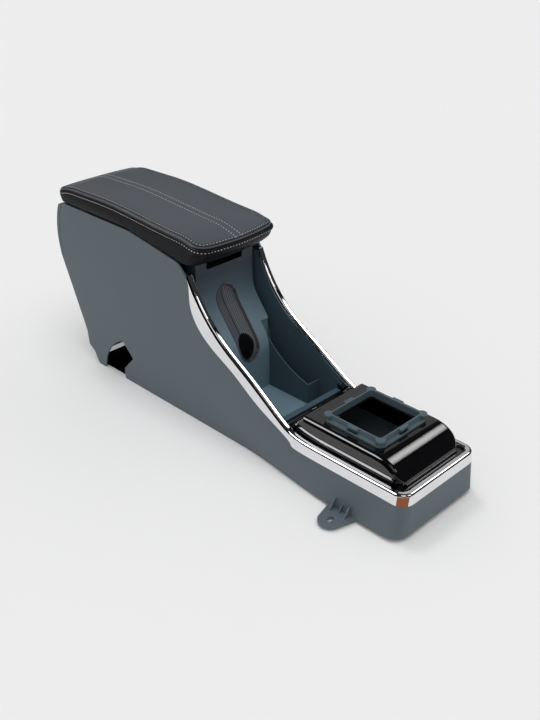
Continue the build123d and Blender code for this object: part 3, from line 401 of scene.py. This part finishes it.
def ribbed_boot():
    """Handbrake boot: a smooth folded left half and a finely woven right half."""
    finish = Finish("handbrake_boot_rubber", 0.6)
    x, y, z = finish.axes()
    along = x * boot_run - z * boot_fall
    right = finish.ramp((y + weave_from) * 400.0, 0.0, 1.0)
    across_rib = (y * 1400.0).sine() * 0.5 + 0.5
    along_rib = (along * 2100.0).sine() * 0.5 + 0.5
    weave = across_rib * 0.6 + along_rib * 0.4
    grit = finish.noise(1200.0)
    smooth_tone = finish.mix(grit, srgb(66, 71, 81), srgb(76, 81, 92))
    woven_tone = finish.mix(weave, srgb(50, 54, 62), srgb(116, 118, 124))
    split = (y + split_from).size() < split_half
    halves = finish.mix(right, smooth_tone, woven_tone)
    finish.set("Base Color", finish.mix(split, halves, srgb(15, 16, 18)))
    finish.set("Roughness", 0.5 + right * 0.2 + grit * 0.1)
    finish.bump(weave * right + grit * 0.15, distance=0.0007, strength=0.7)
    return finish.material


def armrest_leather():
    """Grained hide: dark grey on top, near black below the piping."""
    finish = Finish("armrest_leather", 0.5)
    below = finish.attribute("band")
    painted_groove_shading = finish.attribute("seam")
    hide_cells = {"Vector": finish.place(), "Scale": 560.0}
    cells = finish.node("ShaderNodeTexVoronoi", {"feature": "DISTANCE_TO_EDGE"}, hide_cells)
    grain = finish.grey(finish.ramp(cells, 0.0, 0.16))
    pores = finish.noise(1700.0)
    drift = finish.noise(16.0, detail=3.0)
    top_tone = finish.mix(drift, srgb(76, 81, 90), srgb(83, 88, 97))
    band_tone = finish.mix(drift, srgb(13, 15, 20), srgb(19, 21, 27))
    hide = finish.mix(below, top_tone, band_tone)
    # Painted shade: the leather darkens to near black in the grooves along the piping and the
    # stitch rows
    shaded = finish.mix(painted_groove_shading, hide, srgb(10, 10, 12))
    finish.set("Base Color", finish.mix(grain * 0.25 + 0.75, srgb(14, 15, 17), shaded))
    finish.set("Roughness", 0.46 + pores * 0.10 + drift * 0.05)
    finish.set("Specular IOR Level", 0.1)
    finish.set("Coat Weight", 0.9 - below * 0.75)
    finish.set("Coat Roughness", 0.42)
    finish.bump(grain * 0.7 + pores * 0.3, distance=0.0003, strength=0.28)
    return finish.material


def twisted_thread():
    """Pale thread with a slight twist."""
    finish = Finish("pale_thread", 0.7)
    x, y, z = finish.axes()
    twist = ((x + y + z) * 9000.0).sine() * 0.5 + 0.5
    finish.set("Base Color", finish.mix(twist, srgb(176, 172, 166), srgb(222, 217, 210)))
    finish.set("Roughness", 0.65 + twist * 0.1)
    finish.bump(twist, distance=0.0002, strength=0.5)
    return finish.material


# Each moulding's slot: name, colour, roughness, grain scale, grain depth and, where given, gloss
mouldings = {
    "body_plastic": ("console_moulding", srgb(91, 103, 110), 0.5, 1300.0, 0.00022, 0.4),
    "frame_plastic": ("gaiter_frame_moulding", srgb(84, 101, 109), 0.5, 1300.0, 0.0002, 0.4),
    "bin_plastic": ("bin_moulding", srgb(38, 41, 45), 0.6, 1000.0, 0.0003),
    "cover_plastic": ("lid_cover_moulding", srgb(30, 31, 34), 0.6, 1000.0, 0.0003),
    "carrier_board": ("pad_board", srgb(44, 44, 46), 0.65, 700.0, 0.0003),
    "clip_plastic": ("clip_moulding", srgb(18, 18, 20), 0.45, 1200.0, 0.0002),
    "peg_plastic": ("peg_moulding", srgb(26, 27, 30), 0.5, 1200.0, 0.0002),
}
finishes = {slot: moulded_plastic(*moulding) for slot, moulding in mouldings.items()}
# Painted light and shade of the tray: a shaded tone for its walls and a lit tone for its floor
floor_shaded_and_lit_tones = (srgb(65, 85, 96), srgb(114, 141, 155))
# Painted shade of the sloped panel: a shaded tone under the lid and a lit tone lower down
panel_shaded_and_lit_tones = (srgb(46, 60, 69), srgb(108, 131, 144))
finishes["liner_plastic"] = tray_plastic("tray_moulding_painted_light", lit_tray_floor_share, *floor_shaded_and_lit_tones)
finishes["boot_rubber"] = ribbed_boot()
finishes["stop_rubber"] = moulded_rubber("stop_rubber", srgb(16, 16, 17))
finishes["bright_trim"] = plated_trim()
finishes["gloss_black"] = polished_black()
finishes["hinge_steel"] = zinc_steel("hinge_steel", 186)
finishes["screw_steel"] = zinc_steel("screw_steel", 172)
finishes["leather"] = armrest_leather()
panel_with_painted_shadow = tray_plastic("tray_panel_painted_lid_shadow", out_of_lid_shadow_share, *panel_shaded_and_lit_tones)
thread = twisted_thread()
piping_leather = moulded_plastic("piping_leather", srgb(74, 78, 87), 0.45, 1700.0, 0.0002, 0.3)

node_slots = {entry["node"]: entry["material_slot"] for entry in frame["record"]["subparts"]}
node_bodies = {}
for body, names in frame["record"]["behaviour"]["bodies"].items():
    for name in names:
        node_bodies[name] = body
for name, node in nodes.items():
    node.material_slots[0].material = finishes[node_slots[name]]


def new_piece(name, mesh, body, material):
    """A finished mesh as a piece that moves with a body."""
    piece = bpy.data.objects.new(name, mesh)
    scene.collection.objects.link(piece)
    mesh.materials.clear()
    mesh.materials.append(material)
    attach(piece, body)
    return piece


def joined_mesh(node, name):
    """A node's mesh with its loose triangles joined."""
    mesh = nodes[node].data.copy()
    mesh.name = name
    joined = bmesh.new()
    joined.from_mesh(mesh)
    bmesh.ops.remove_doubles(joined, verts=joined.verts, dist=join_distance)
    joined.to_mesh(mesh)
    joined.free()
    return mesh


def settle(piece):
    """Turn a piece's modifiers into plain mesh."""
    view = bpy.context.evaluated_depsgraph_get()
    view.update()
    mesh = bpy.data.meshes.new_from_object(piece.evaluated_get(view))
    piece.modifiers.clear()
    piece.data = mesh


def eased_stand_in(node, edge, material):
    """The same form as a node, with its sharp edges eased as a mould leaves them."""
    mesh = joined_mesh(node, node + "_eased")
    mesh.normals_split_custom_set([(0, 0, 0)] * len(mesh.loops))
    mesh.shade_smooth()
    piece = new_piece(node + "_eased", mesh, node_bodies[node], material)
    flat = piece.modifiers.new("joined_flats", "DECIMATE")
    flat.decimate_type = "DISSOLVE"
    flat.angle_limit = math.radians(flat_angle)
    eased = piece.modifiers.new("eased_edges", "BEVEL")
    eased.width = edge
    eased.segments = 2
    eased.limit_method = "ANGLE"
    eased.angle_limit = math.radians(sharp_angle)
    piece.modifiers.new("flat_faces_stay_flat", "WEIGHTED_NORMAL")
    settle(piece)
    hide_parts(node)


for node, edge, material in (
    ("console_shell", 0.0012, finishes["body_plastic"]),
    ("rear_panel", 0.0008, finishes["body_plastic"]),
    ("tray_liner", 0.0006, finishes["liner_plastic"]),
    ("tray_panel", 0.0006, panel_with_painted_shadow),
    ("gaiter_frame", 0.0005, finishes["frame_plastic"]),
):
    eased_stand_in(node, edge, material)


def lid_outline():
    """Evenly spaced points and outward directions around the lid's plan outline."""
    bow_radius = (lid_half**2 + lid_bow**2) / (2 * lid_bow)
    bow_centre = lid_front - bow_radius
    corner_y = lid_half - lid_front_corner
    corner_x = bow_centre + math.sqrt((bow_radius - lid_front_corner) ** 2 - corner_y**2)
    turn = math.atan2(corner_y, corner_x - bow_centre)
    rear_x = lid_rear + lid_rear_corner
    rear_y = lid_half - lid_rear_corner
    arcs = (
        ((rear_x, -rear_y), lid_rear_corner, math.pi, 1.5 * math.pi),
        ((corner_x, -corner_y), lid_front_corner, 1.5 * math.pi, 2 * math.pi - turn),
        ((bow_centre, 0.0), bow_radius, -turn, turn),
        ((corner_x, corner_y), lid_front_corner, turn, 0.5 * math.pi),
        ((rear_x, rear_y), lid_rear_corner, 0.5 * math.pi, math.pi),
    )
    raw = []
    for (centre_x, centre_y), radius, start, end in arcs:
        for angle in np.linspace(start, end, arc_points):
            x = centre_x + radius * math.cos(angle)
            y = centre_y + radius * math.sin(angle)
            raw.append((x, y, angle))
    raw.append(raw[0])
    raw = np.array(raw)
    runs = np.hypot(np.diff(raw[:, 0]), np.diff(raw[:, 1]))
    length = np.concatenate(([0], np.cumsum(runs)))
    places = np.linspace(0, length[-1], round(length[-1] / path_step), endpoint=False)
    points = np.stack([np.interp(places, length, raw[:, axis]) for axis in (0, 1)], axis=1)
    turned = [np.interp(places, length, part(raw[:, 2])) for part in (np.cos, np.sin)]
    outward = np.stack(turned, axis=1)
    outward /= np.linalg.norm(outward, axis=1, keepdims=True)
    return points, outward


def ease(values, low, high):
    """Rise smoothly from 0 at the low value to 1 at the high one."""
    share = np.clip((values - low) / (high - low), 0, 1)
    return share * share * (3 - 2 * share)


def surface_of(mesh):
    """The mesh as a surface that points can be dropped onto."""
    return BVHTree.FromPolygons([v.co for v in mesh.vertices], [p.vertices for p in mesh.polygons])


def drop(surface, x, y):
    """Where a point above the lid lands on its top."""
    return surface.ray_cast(Vector((x, y, above_lid)), Vector((0, 0, -1)))[0]


def seam_paths(surface):
    """The lid's sewing lines, lying on its surface: top row, piping, lower row and centre rows."""
    rows = {"top": [], "piping": [], "lower": []}
    outline, outward = lid_outline()
    for (x, y), (out_x, out_y) in zip(outline, outward):
        out = Vector((out_x, out_y, 0))
        inset = top_row_inset - far_row_shift * ease(out_y, *far_side_turn)
        rows["top"].append(drop(surface, x - out_x * inset, y - out_y * inset))
        shoulder = drop(surface, x - out_x * edge_round, y - out_y * edge_round)
        middle = shoulder - Vector((0, 0, edge_round))
        slant = (out + Vector((0, 0, 1))).normalized()
        edge = surface.ray_cast(middle + slant * ray_run, -slant)[0]
        rows["piping"].append(edge)
        side = Vector((x, y, edge.z - lower_row_drop)) + out * ray_run
        rows["lower"].append(surface.ray_cast(side, -out)[0])
    first_x = lid_rear + centre_row_rear_gap
    last_x = lid_front - centre_row_front_gap
    for name, side in (("centre_left", -1), ("centre_right", 1)):
        rows[name] = []
        for x in np.arange(first_x, last_x, path_step):
            landed = drop(surface, x, side * centre_row_half)
            if landed is not None:
                rows[name].append(landed)
    return rows


def distance_to(path, points, closed):
    """How far each point is from a path, or 1 m where it is out of the path's reach."""
    line = np.array([tuple(p) for p in path])
    ends = np.roll(line, -1, axis=0) if closed else line[1:]
    starts = line if closed else line[:-1]
    best = np.full(len(points), 1.0)
    for start, end in zip(starts, ends):
        near = np.abs(points - start).max(axis=1) < seam_reach
        if not near.any():
            continue
        run = end - start
        share = np.clip(((points[near] - start) @ run) / (run @ run), 0, 1)
        gap = np.linalg.norm(points[near] - start - share[:, None] * run, axis=1)
        best[near] = np.minimum(best[near], gap)
    return best


def vertex_array(mesh, name="co"):
    """Every vertex's place or direction as rows of numbers."""
    values = np.zeros(len(mesh.vertices) * 3, np.float32)
    mesh.vertices.foreach_get(name, values)
    return values.reshape(-1, 3).astype(float)


def move_vertices(mesh, points):
    """Put every vertex at its row's place."""
    mesh.vertices.foreach_set("co", points.astype(np.float32).ravel())
    mesh.update()


def make_pad():
    """Armrest pad: the foam form, swollen by cloth pressure between its seams."""
    mesh = joined_mesh("armrest_pad", "armrest_pad_cover")
    pad = bpy.data.objects.new("armrest_pad_cover", mesh)
    scene.collection.objects.link(pad)
    remesh = pad.modifiers.new("even_mesh", "REMESH")
    remesh.mode = "VOXEL"
    remesh.voxel_size = pad_voxel
    settle(pad)
    start = lean_ends(vertex_array(pad.data))
    move_vertices(pad.data, start)
    facing = vertex_array(pad.data, "normal")
    rows = seam_paths(surface_of(pad.data))
    pinned = distance_to(rows["piping"], start, True) < piping_hold
    pinned |= (np.abs(start[:, 1]) < centre_hold) & (facing[:, 2] > centre_hold_facing)
    pinned |= start[:, 2] < held_below
    pinned |= ~on_outer_skin(start, facing)
    group = pad.vertex_groups.new(name="sewn_down")
    group.add([int(i) for i in np.flatnonzero(pinned)], 1.0, "REPLACE")
    inflate(pad, start)
    soften = pad.modifiers.new("finer_mesh", "SUBSURF")
    soften.levels = 1
    soften.render_levels = 1
    settle(pad)
    pad.data.shade_smooth()
    return pad


def lean_ends(points):
    """Fill out the pad's ends and corners, lean its nose in below and flatten its crown."""
    x, y, z = points.T
    upper = ease(z, *upper_rise)
    rear = ease(-x, -lid_rear - rear_run, -lid_rear)
    nose = ease(x, lid_front - nose_run[0], lid_front - nose_run[1])
    low = ease(-z, -nose_tuck_from, -nose_tuck_to)
    corner = ease(x, lid_front - corner_run[0], lid_front - corner_run[1])
    corner = corner * ease(np.abs(y), *corner_across)
    swell = ease(z, *rear_swell_rise) * (1 - rear_swell_loss * ease(z, *rear_swell_fall))
    along = -rear_fullness * rear * swell - nose_lean * nose * low
    along += corner_fullness * corner * upper
    along += nose_reach * nose * upper
    across = np.sign(y) * corner_fullness * corner * upper
    tip = ease(x, lid_front - nose_drop_run[0], lid_front - nose_drop_run[1])
    down = nose_drop * tip * ease(z, *nose_drop_rise)
    down += crown_flatten * (1 - (y / lid_half) ** 2) * ease(z, *crown_rise)
    return np.stack((x + along, y + across, z - down), axis=1)


def on_outer_skin(points, facing):
    """Which points lie on the pad's outer skin, and not in the hollow under it."""
    side = np.abs(points[:, 1]) > lid_half - skin_depth
    rear = points[:, 0] < lid_rear + skin_depth
    nose = points[:, 0] > lid_front - nose_skin_depth
    top = (facing[:, 2] > top_skin_facing) & (points[:, 2] > top_skin_from)
    return top | side | rear | nose


def inflate(pad, start):
    """Let cloth pressure swell the pad, then hold each point near where it began."""
    cloth = pad.modifiers.new("cloth", "CLOTH")
    settings = cloth.settings
    settings.quality = 6
    settings.mass = 0.3
    settings.tension_stiffness = 25
    settings.compression_stiffness = 25
    settings.shear_stiffness = 10
    settings.bending_stiffness = 2
    settings.use_pressure = True
    settings.uniform_pressure_force = 4.0
    settings.effector_weights.gravity = 0
    settings.vertex_group_mass = "sewn_down"
    settings.pin_stiffness = 1.0
    for step in range(1, cloth_frames + 1):
        scene.frame_set(step)
    settle(pad)
    scene.frame_set(1)
    shift = vertex_array(pad.data) - start
    size = np.linalg.norm(shift, axis=1, keepdims=True)
    shift *= np.minimum(1, swell_limit / np.maximum(size, 1e-9))
    move_vertices(pad.data, start + shift)


def dip(distance, depth, width):
    """A soft dent: its full depth on a line, fading out over a width to either side."""
    return depth * np.exp(-((distance / width) ** 2))


def press_seams(pad, rows):
    """Sink the leather along its sewing lines, and mark the painted shade in its grooves and its
    dark band.
    """
    points = vertex_array(pad.data)
    facing = vertex_array(pad.data, "normal")
    from_piping = distance_to(rows["piping"], points, True)
    from_top = distance_to(rows["top"], points, True)
    from_rows = np.minimum(from_top, distance_to(rows["lower"], points, True))
    depth = dip(from_piping, *piping_dip)
    depth += dip(from_rows, *row_dip)
    middle = np.where(facing[:, 2] > centre_facing, np.abs(points[:, 1]), 1.0)
    depth += dip(middle, *centre_seam_dip)
    depth += dip(middle - centre_row_half, *centre_row_dip)
    points -= facing * depth[:, None]
    move_vertices(pad.data, points)
    line = np.array([tuple(p) for p in rows["piping"]])
    band = np.zeros(len(points), np.float32)
    above = dip(from_piping, band_above_share, band_fade)
    for index, point in enumerate(points):
        nearest = line[np.argmin(((line - point) ** 2)[:, :2].sum(axis=1))]
        band[index] = 1.0 if point[2] < nearest[2] + band_margin else above[index]
    # Painted shade in the grooves beside the piping and along the stitch rows
    groove_painted_shade = dip(from_piping - groove_from_piping, *groove_shade)
    groove_painted_shade = np.maximum(groove_painted_shade, dip(from_rows, *row_shade)).astype(np.float32)
    for name, values in (("band", band), ("seam", groove_painted_shade)):
        pad.data.attributes.new(name, "FLOAT", "POINT").data.foreach_set("value", values)


def tube_mesh(name, path, radius, sides):
    """A round roll along a closed path."""
    line = np.array([tuple(p) for p in path])
    ahead = np.roll(line, -1, axis=0) - np.roll(line, 1, axis=0)
    ahead /= np.linalg.norm(ahead, axis=1, keepdims=True)
    up = np.array((0.0, 0.0, 1.0))
    outward = np.cross(ahead, up)
    outward /= np.linalg.norm(outward, axis=1, keepdims=True)
    rise = np.cross(outward, ahead)
    points = []
    for step in range(sides):
        angle = 2 * math.pi * step / sides
        points.append(line + radius * (math.cos(angle) * outward + math.sin(angle) * rise))
    vertices = np.concatenate(points)
    count = len(line)
    faces = []
    for step in range(sides):
        here = step * count
        there = (step + 1) % sides * count
        for index in range(count):
            after = (index + 1) % count
            faces.append((here + index, here + after, there + after, there + index))
    mesh = bpy.data.meshes.new(name)
    mesh.from_pydata(vertices.tolist(), [], faces)
    outside = bmesh.new()
    outside.from_mesh(mesh)
    bmesh.ops.recalc_face_normals(outside, faces=outside.faces)
    outside.to_mesh(mesh)
    outside.free()
    mesh.shade_smooth()
    return mesh


def stitch_tree():
    """Geometry nodes that lay one stitch after another along a line."""
    tree = bpy.data.node_groups.new("stitch_row", "GeometryNodeTree")
    face = tree.interface
    face.new_socket("Geometry", in_out="INPUT", socket_type="NodeSocketGeometry")
    sockets = {}
    for name, kind in (
        ("Pitch", "NodeSocketFloat"),
        ("Stitch length", "NodeSocketFloat"),
        ("Thread radius", "NodeSocketFloat"),
        ("Thread", "NodeSocketMaterial"),
    ):
        sockets[name] = face.new_socket(name, in_out="INPUT", socket_type=kind).identifier
    face.new_socket("Geometry", in_out="OUTPUT", socket_type="NodeSocketGeometry")

    def add(kind, settings=None, **links):
        node = tree.nodes.new(kind)
        for key, value in (settings or {}).items():
            setattr(node, key, value)
        for key, source in links.items():
            tree.links.new(source, node.inputs[key])
        return node

    entry = add("NodeGroupInput").outputs
    radius = entry["Thread radius"]
    line = add("GeometryNodeMeshToCurve", Mesh=entry["Geometry"])
    even = {"mode": "LENGTH"}
    spaced = add("GeometryNodeResampleCurve", even, Curve=line.outputs[0], Length=entry["Pitch"])
    tangent = add("GeometryNodeInputTangent")
    turn = add("FunctionNodeAlignRotationToVector", {"axis": "X"}, Vector=tangent.outputs[0])
    bead = add("GeometryNodeMeshUVSphere")
    bead.inputs["Segments"].default_value = bead_segments
    bead.inputs["Rings"].default_value = bead_rings
    bead.inputs["Radius"].default_value = 1.0
    half = add("ShaderNodeMath", {"operation": "MULTIPLY"}, Value=entry["Stitch length"])
    half.inputs[1].default_value = 0.5
    sizes = add("ShaderNodeCombineXYZ", X=half.outputs[0], Y=radius, Z=radius)
    stitch = add("GeometryNodeTransform", Geometry=bead.outputs["Mesh"], Scale=sizes.outputs[0])
    laid = add(
        "GeometryNodeInstanceOnPoints",
        Points=spaced.outputs[0],
        Instance=stitch.outputs[0],
        Rotation=turn.outputs[0],
    )
    real = add("GeometryNodeRealizeInstances", Geometry=laid.outputs[0])
    smooth = add("GeometryNodeSetShadeSmooth", Geometry=real.outputs[0])
    dyed = add("GeometryNodeSetMaterial", Geometry=smooth.outputs[0], Material=entry["Thread"])
    add("NodeGroupOutput", Geometry=dyed.outputs[0])
    return tree, sockets


stitch_row, stitch_sockets = stitch_tree()


def sew(name, path, closed):
    """A row of stitches along a path, as one plain piece on the lid."""
    mesh = bpy.data.meshes.new(name)
    count = len(path)
    edges = [(i, i + 1) for i in range(count - 1)]
    if closed:
        edges.append((count - 1, 0))
    mesh.from_pydata([tuple(p) for p in path], edges, [])
    row = bpy.data.objects.new(name, mesh)
    scene.collection.objects.link(row)
    sewing = row.modifiers.new("sewing", "NODES")
    sewing.node_group = stitch_row
    sewing[stitch_sockets["Pitch"]] = stitch_pitch
    sewing[stitch_sockets["Stitch length"]] = stitch_length
    sewing[stitch_sockets["Thread radius"]] = thread_radius
    sewing[stitch_sockets["Thread"]] = thread
    settle(row)
    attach(row, "lid")


pad = make_pad()
rows = seam_paths(surface_of(pad.data))
press_seams(pad, rows)
pad.data.materials.clear()
pad.data.materials.append(finishes["leather"])
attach(pad, "lid")
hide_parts("armrest_pad")
piping = tube_mesh("piping", rows["piping"], piping_radius, piping_sides)
new_piece("piping", piping, "lid", piping_leather)
rows = seam_paths(surface_of(pad.data))
sew("top_stitches", rows["top"], True)
sew("lower_stitches", rows["lower"], True)
sew("centre_stitches_left", rows["centre_left"], False)
sew("centre_stitches_right", rows["centre_right"], False)


def dull_finish(name, roughness, colour):
    """A finish with no sheen."""
    finish = Finish(name, roughness)
    finish.set("Base Color", colour)
    finish.set("Specular IOR Level", 0.0)
    return finish


def flat_sheet(name, corners, finish):
    """One flat face in the scene."""
    mesh = bpy.data.meshes.new(name)
    mesh.from_pydata(corners, [], [range(len(corners))])
    mesh.materials.append(finish.material)
    sheet = bpy.data.objects.new(name, mesh)
    scene.collection.objects.link(sheet)
    return sheet


def make_floor():
    """Pale studio floor."""
    corners = [(x * floor_reach, y * floor_reach, -floor_drop) for x, y in square]
    finish = dull_finish("studio_floor", 0.9, srgb(250, 250, 250))
    floor = flat_sheet("studio_floor", corners, finish)


def painted_shade_sheet():
    """Painted shade: a dark sheet on the floor under the console that stands in for the shade
    there, seen only through its gaps.
    """
    corners = (
        (shade_sheet_rear, -shade_sheet_half),
        (shade_sheet_front, -shade_sheet_half),
        (shade_sheet_front, shade_sheet_half),
        (shade_sheet_rear, shade_sheet_half),
        (shade_sheet_heel, shade_sheet_heel_half),
        (shade_sheet_heel, -shade_sheet_heel_half),
    )
    finish = dull_finish("painted_shade_sheet", 1.0, srgb(12, 12, 13))
    shade_sheet = flat_sheet("painted_shade_sheet", [(x, y, 0) for x, y in corners], finish)


def make_world():
    """Soft light from all around, with a dark room for mirror-like faces to reflect."""
    world = bpy.data.worlds.new("studio")
    scene.world = world
    world.use_nodes = True
    tree = world.node_tree
    soft = tree.nodes["Background"]
    soft.inputs["Color"].default_value = white
    soft.inputs["Strength"].default_value = room_light
    dark = tree.nodes.new("ShaderNodeBackground")
    dark.inputs["Color"].default_value = (0.9, 0.95, 1, 1)
    dark.inputs["Strength"].default_value = mirrored_room
    ray = tree.nodes.new("ShaderNodeLightPath")
    blend = tree.nodes.new("ShaderNodeMixShader")
    tree.links.new(ray.outputs["Is Glossy Ray"], blend.inputs[0])
    tree.links.new(soft.outputs[0], blend.inputs[1])
    tree.links.new(dark.outputs[0], blend.inputs[2])
    tree.links.new(blend.outputs[0], tree.nodes["World Output"].inputs["Surface"])


def far_light(name, travel, energy, spread):
    """Soft light from far away that casts shadows but shows in no mirror."""
    light = bpy.data.lights.new(name, "SUN")
    light.energy = energy
    light.angle = math.radians(spread)
    holder = bpy.data.objects.new(name, light)
    holder.rotation_euler = Vector(travel).to_track_quat("-Z", "Y").to_euler()
    holder.visible_glossy = False
    scene.collection.objects.link(holder)


def reflector(name, corners, colour, strength, fade=0.0):
    """A card that only mirror-like faces see, evenly bright or fading out from its middle."""
    finish = dull_finish(name, 1.0, black)
    if fade > 0:
        middle = sum(corners, Vector()) / len(corners)
        x, y, z = [axis - at for axis, at in zip(finish.axes(), middle)]
        outer = finish.ramp((x * x + y * y + z * z) * (1 / fade**2), 0.0, 1.0)
        colour = finish.mix(outer, colour, black)
    finish.set("Emission Color", colour)
    finish.set("Emission Strength", strength)
    card = flat_sheet(name, corners, finish)
    card.visible_camera = False
    card.visible_diffuse = False
    card.visible_shadow = False
    card.visible_transmission = False


def soft_box(name, direction, distance, width, height, strength, fade=0.0):
    """A bright rectangle that faces the middle of the console's open part."""
    towards = Vector(direction).normalized()
    level = towards.cross(Vector((0, 0, 1))).normalized()
    upright = level.cross(towards)
    centre = Vector(box_target) + towards * distance
    corners = []
    for across, rise in square:
        corners.append(centre + level * across * width / 2 + upright * rise * height / 2)
    reflector(name, corners, white, strength, fade)


def floor_card(name, corners, colour, strength):
    """A card that lies just above the floor."""
    reflector(name, [(x, y, card_lift) for x, y in corners], colour, strength)


make_floor()
painted_shade_sheet()
make_world()
far_light("overhead", travel=(-0.30, 0.20, -1.0), energy=1.02, spread=50)
far_light("from_behind", travel=(0.42, -0.04, -1.0), energy=0.36, spread=14)
# Bright cards: direction, distance, width, height, strength and, where given, fade
soft_box("left_box", (-0.53, -0.52, 0.66), 2.0, 1.6, 0.8, 8.0)
soft_box("front_glow", (0.14, 0.66, 0.74), 2.0, 1.1, 0.9, 7.0, 0.42)
soft_box("front_box", (0.70, 0.10, 0.70), 1.8, 0.55, 0.45, 2.4)
soft_box("rim_box", (0.50, -0.42, 0.76), 2.0, 0.8, 1.2, 1.0)
soft_box("back_wall", (-0.61, 0.58, 0.54), 2.2, 2.4, 0.9, 0.45)
dark_wall = [(-1.6, -0.75, 0.0), (0.55, -0.75, 0.0), (0.55, -0.75, 0.55), (-1.6, -0.75, 0.55)]
reflector("dark_wall", dark_wall, black, 0.0)
dark_floor = [(0.34, -0.25), (0.03, -0.25), (-0.55, -0.80), (0.40, -0.80)]
floor_card("dark_floor", dark_floor, black, 0.0)
front_card = [(0.43, -0.105), (0.36, -0.40), (0.95, -0.55), (0.95, 0.05)]
floor_card("front_card", front_card, srgb(146, 90, 64), 1.0)

camera = bpy.data.cameras.new("camera")
camera.lens = camera_lens
camera.sensor_width = sensor_width
camera_holder = bpy.data.objects.new("camera", camera)
camera_holder.location = camera_place
tilt = math.radians(90 - camera_dip)
camera_holder.rotation_euler = (tilt, 0, math.radians(camera_heading - 90))
scene.collection.objects.link(camera_holder)
scene.camera = camera_holder
scene.view_settings.view_transform = "Standard"
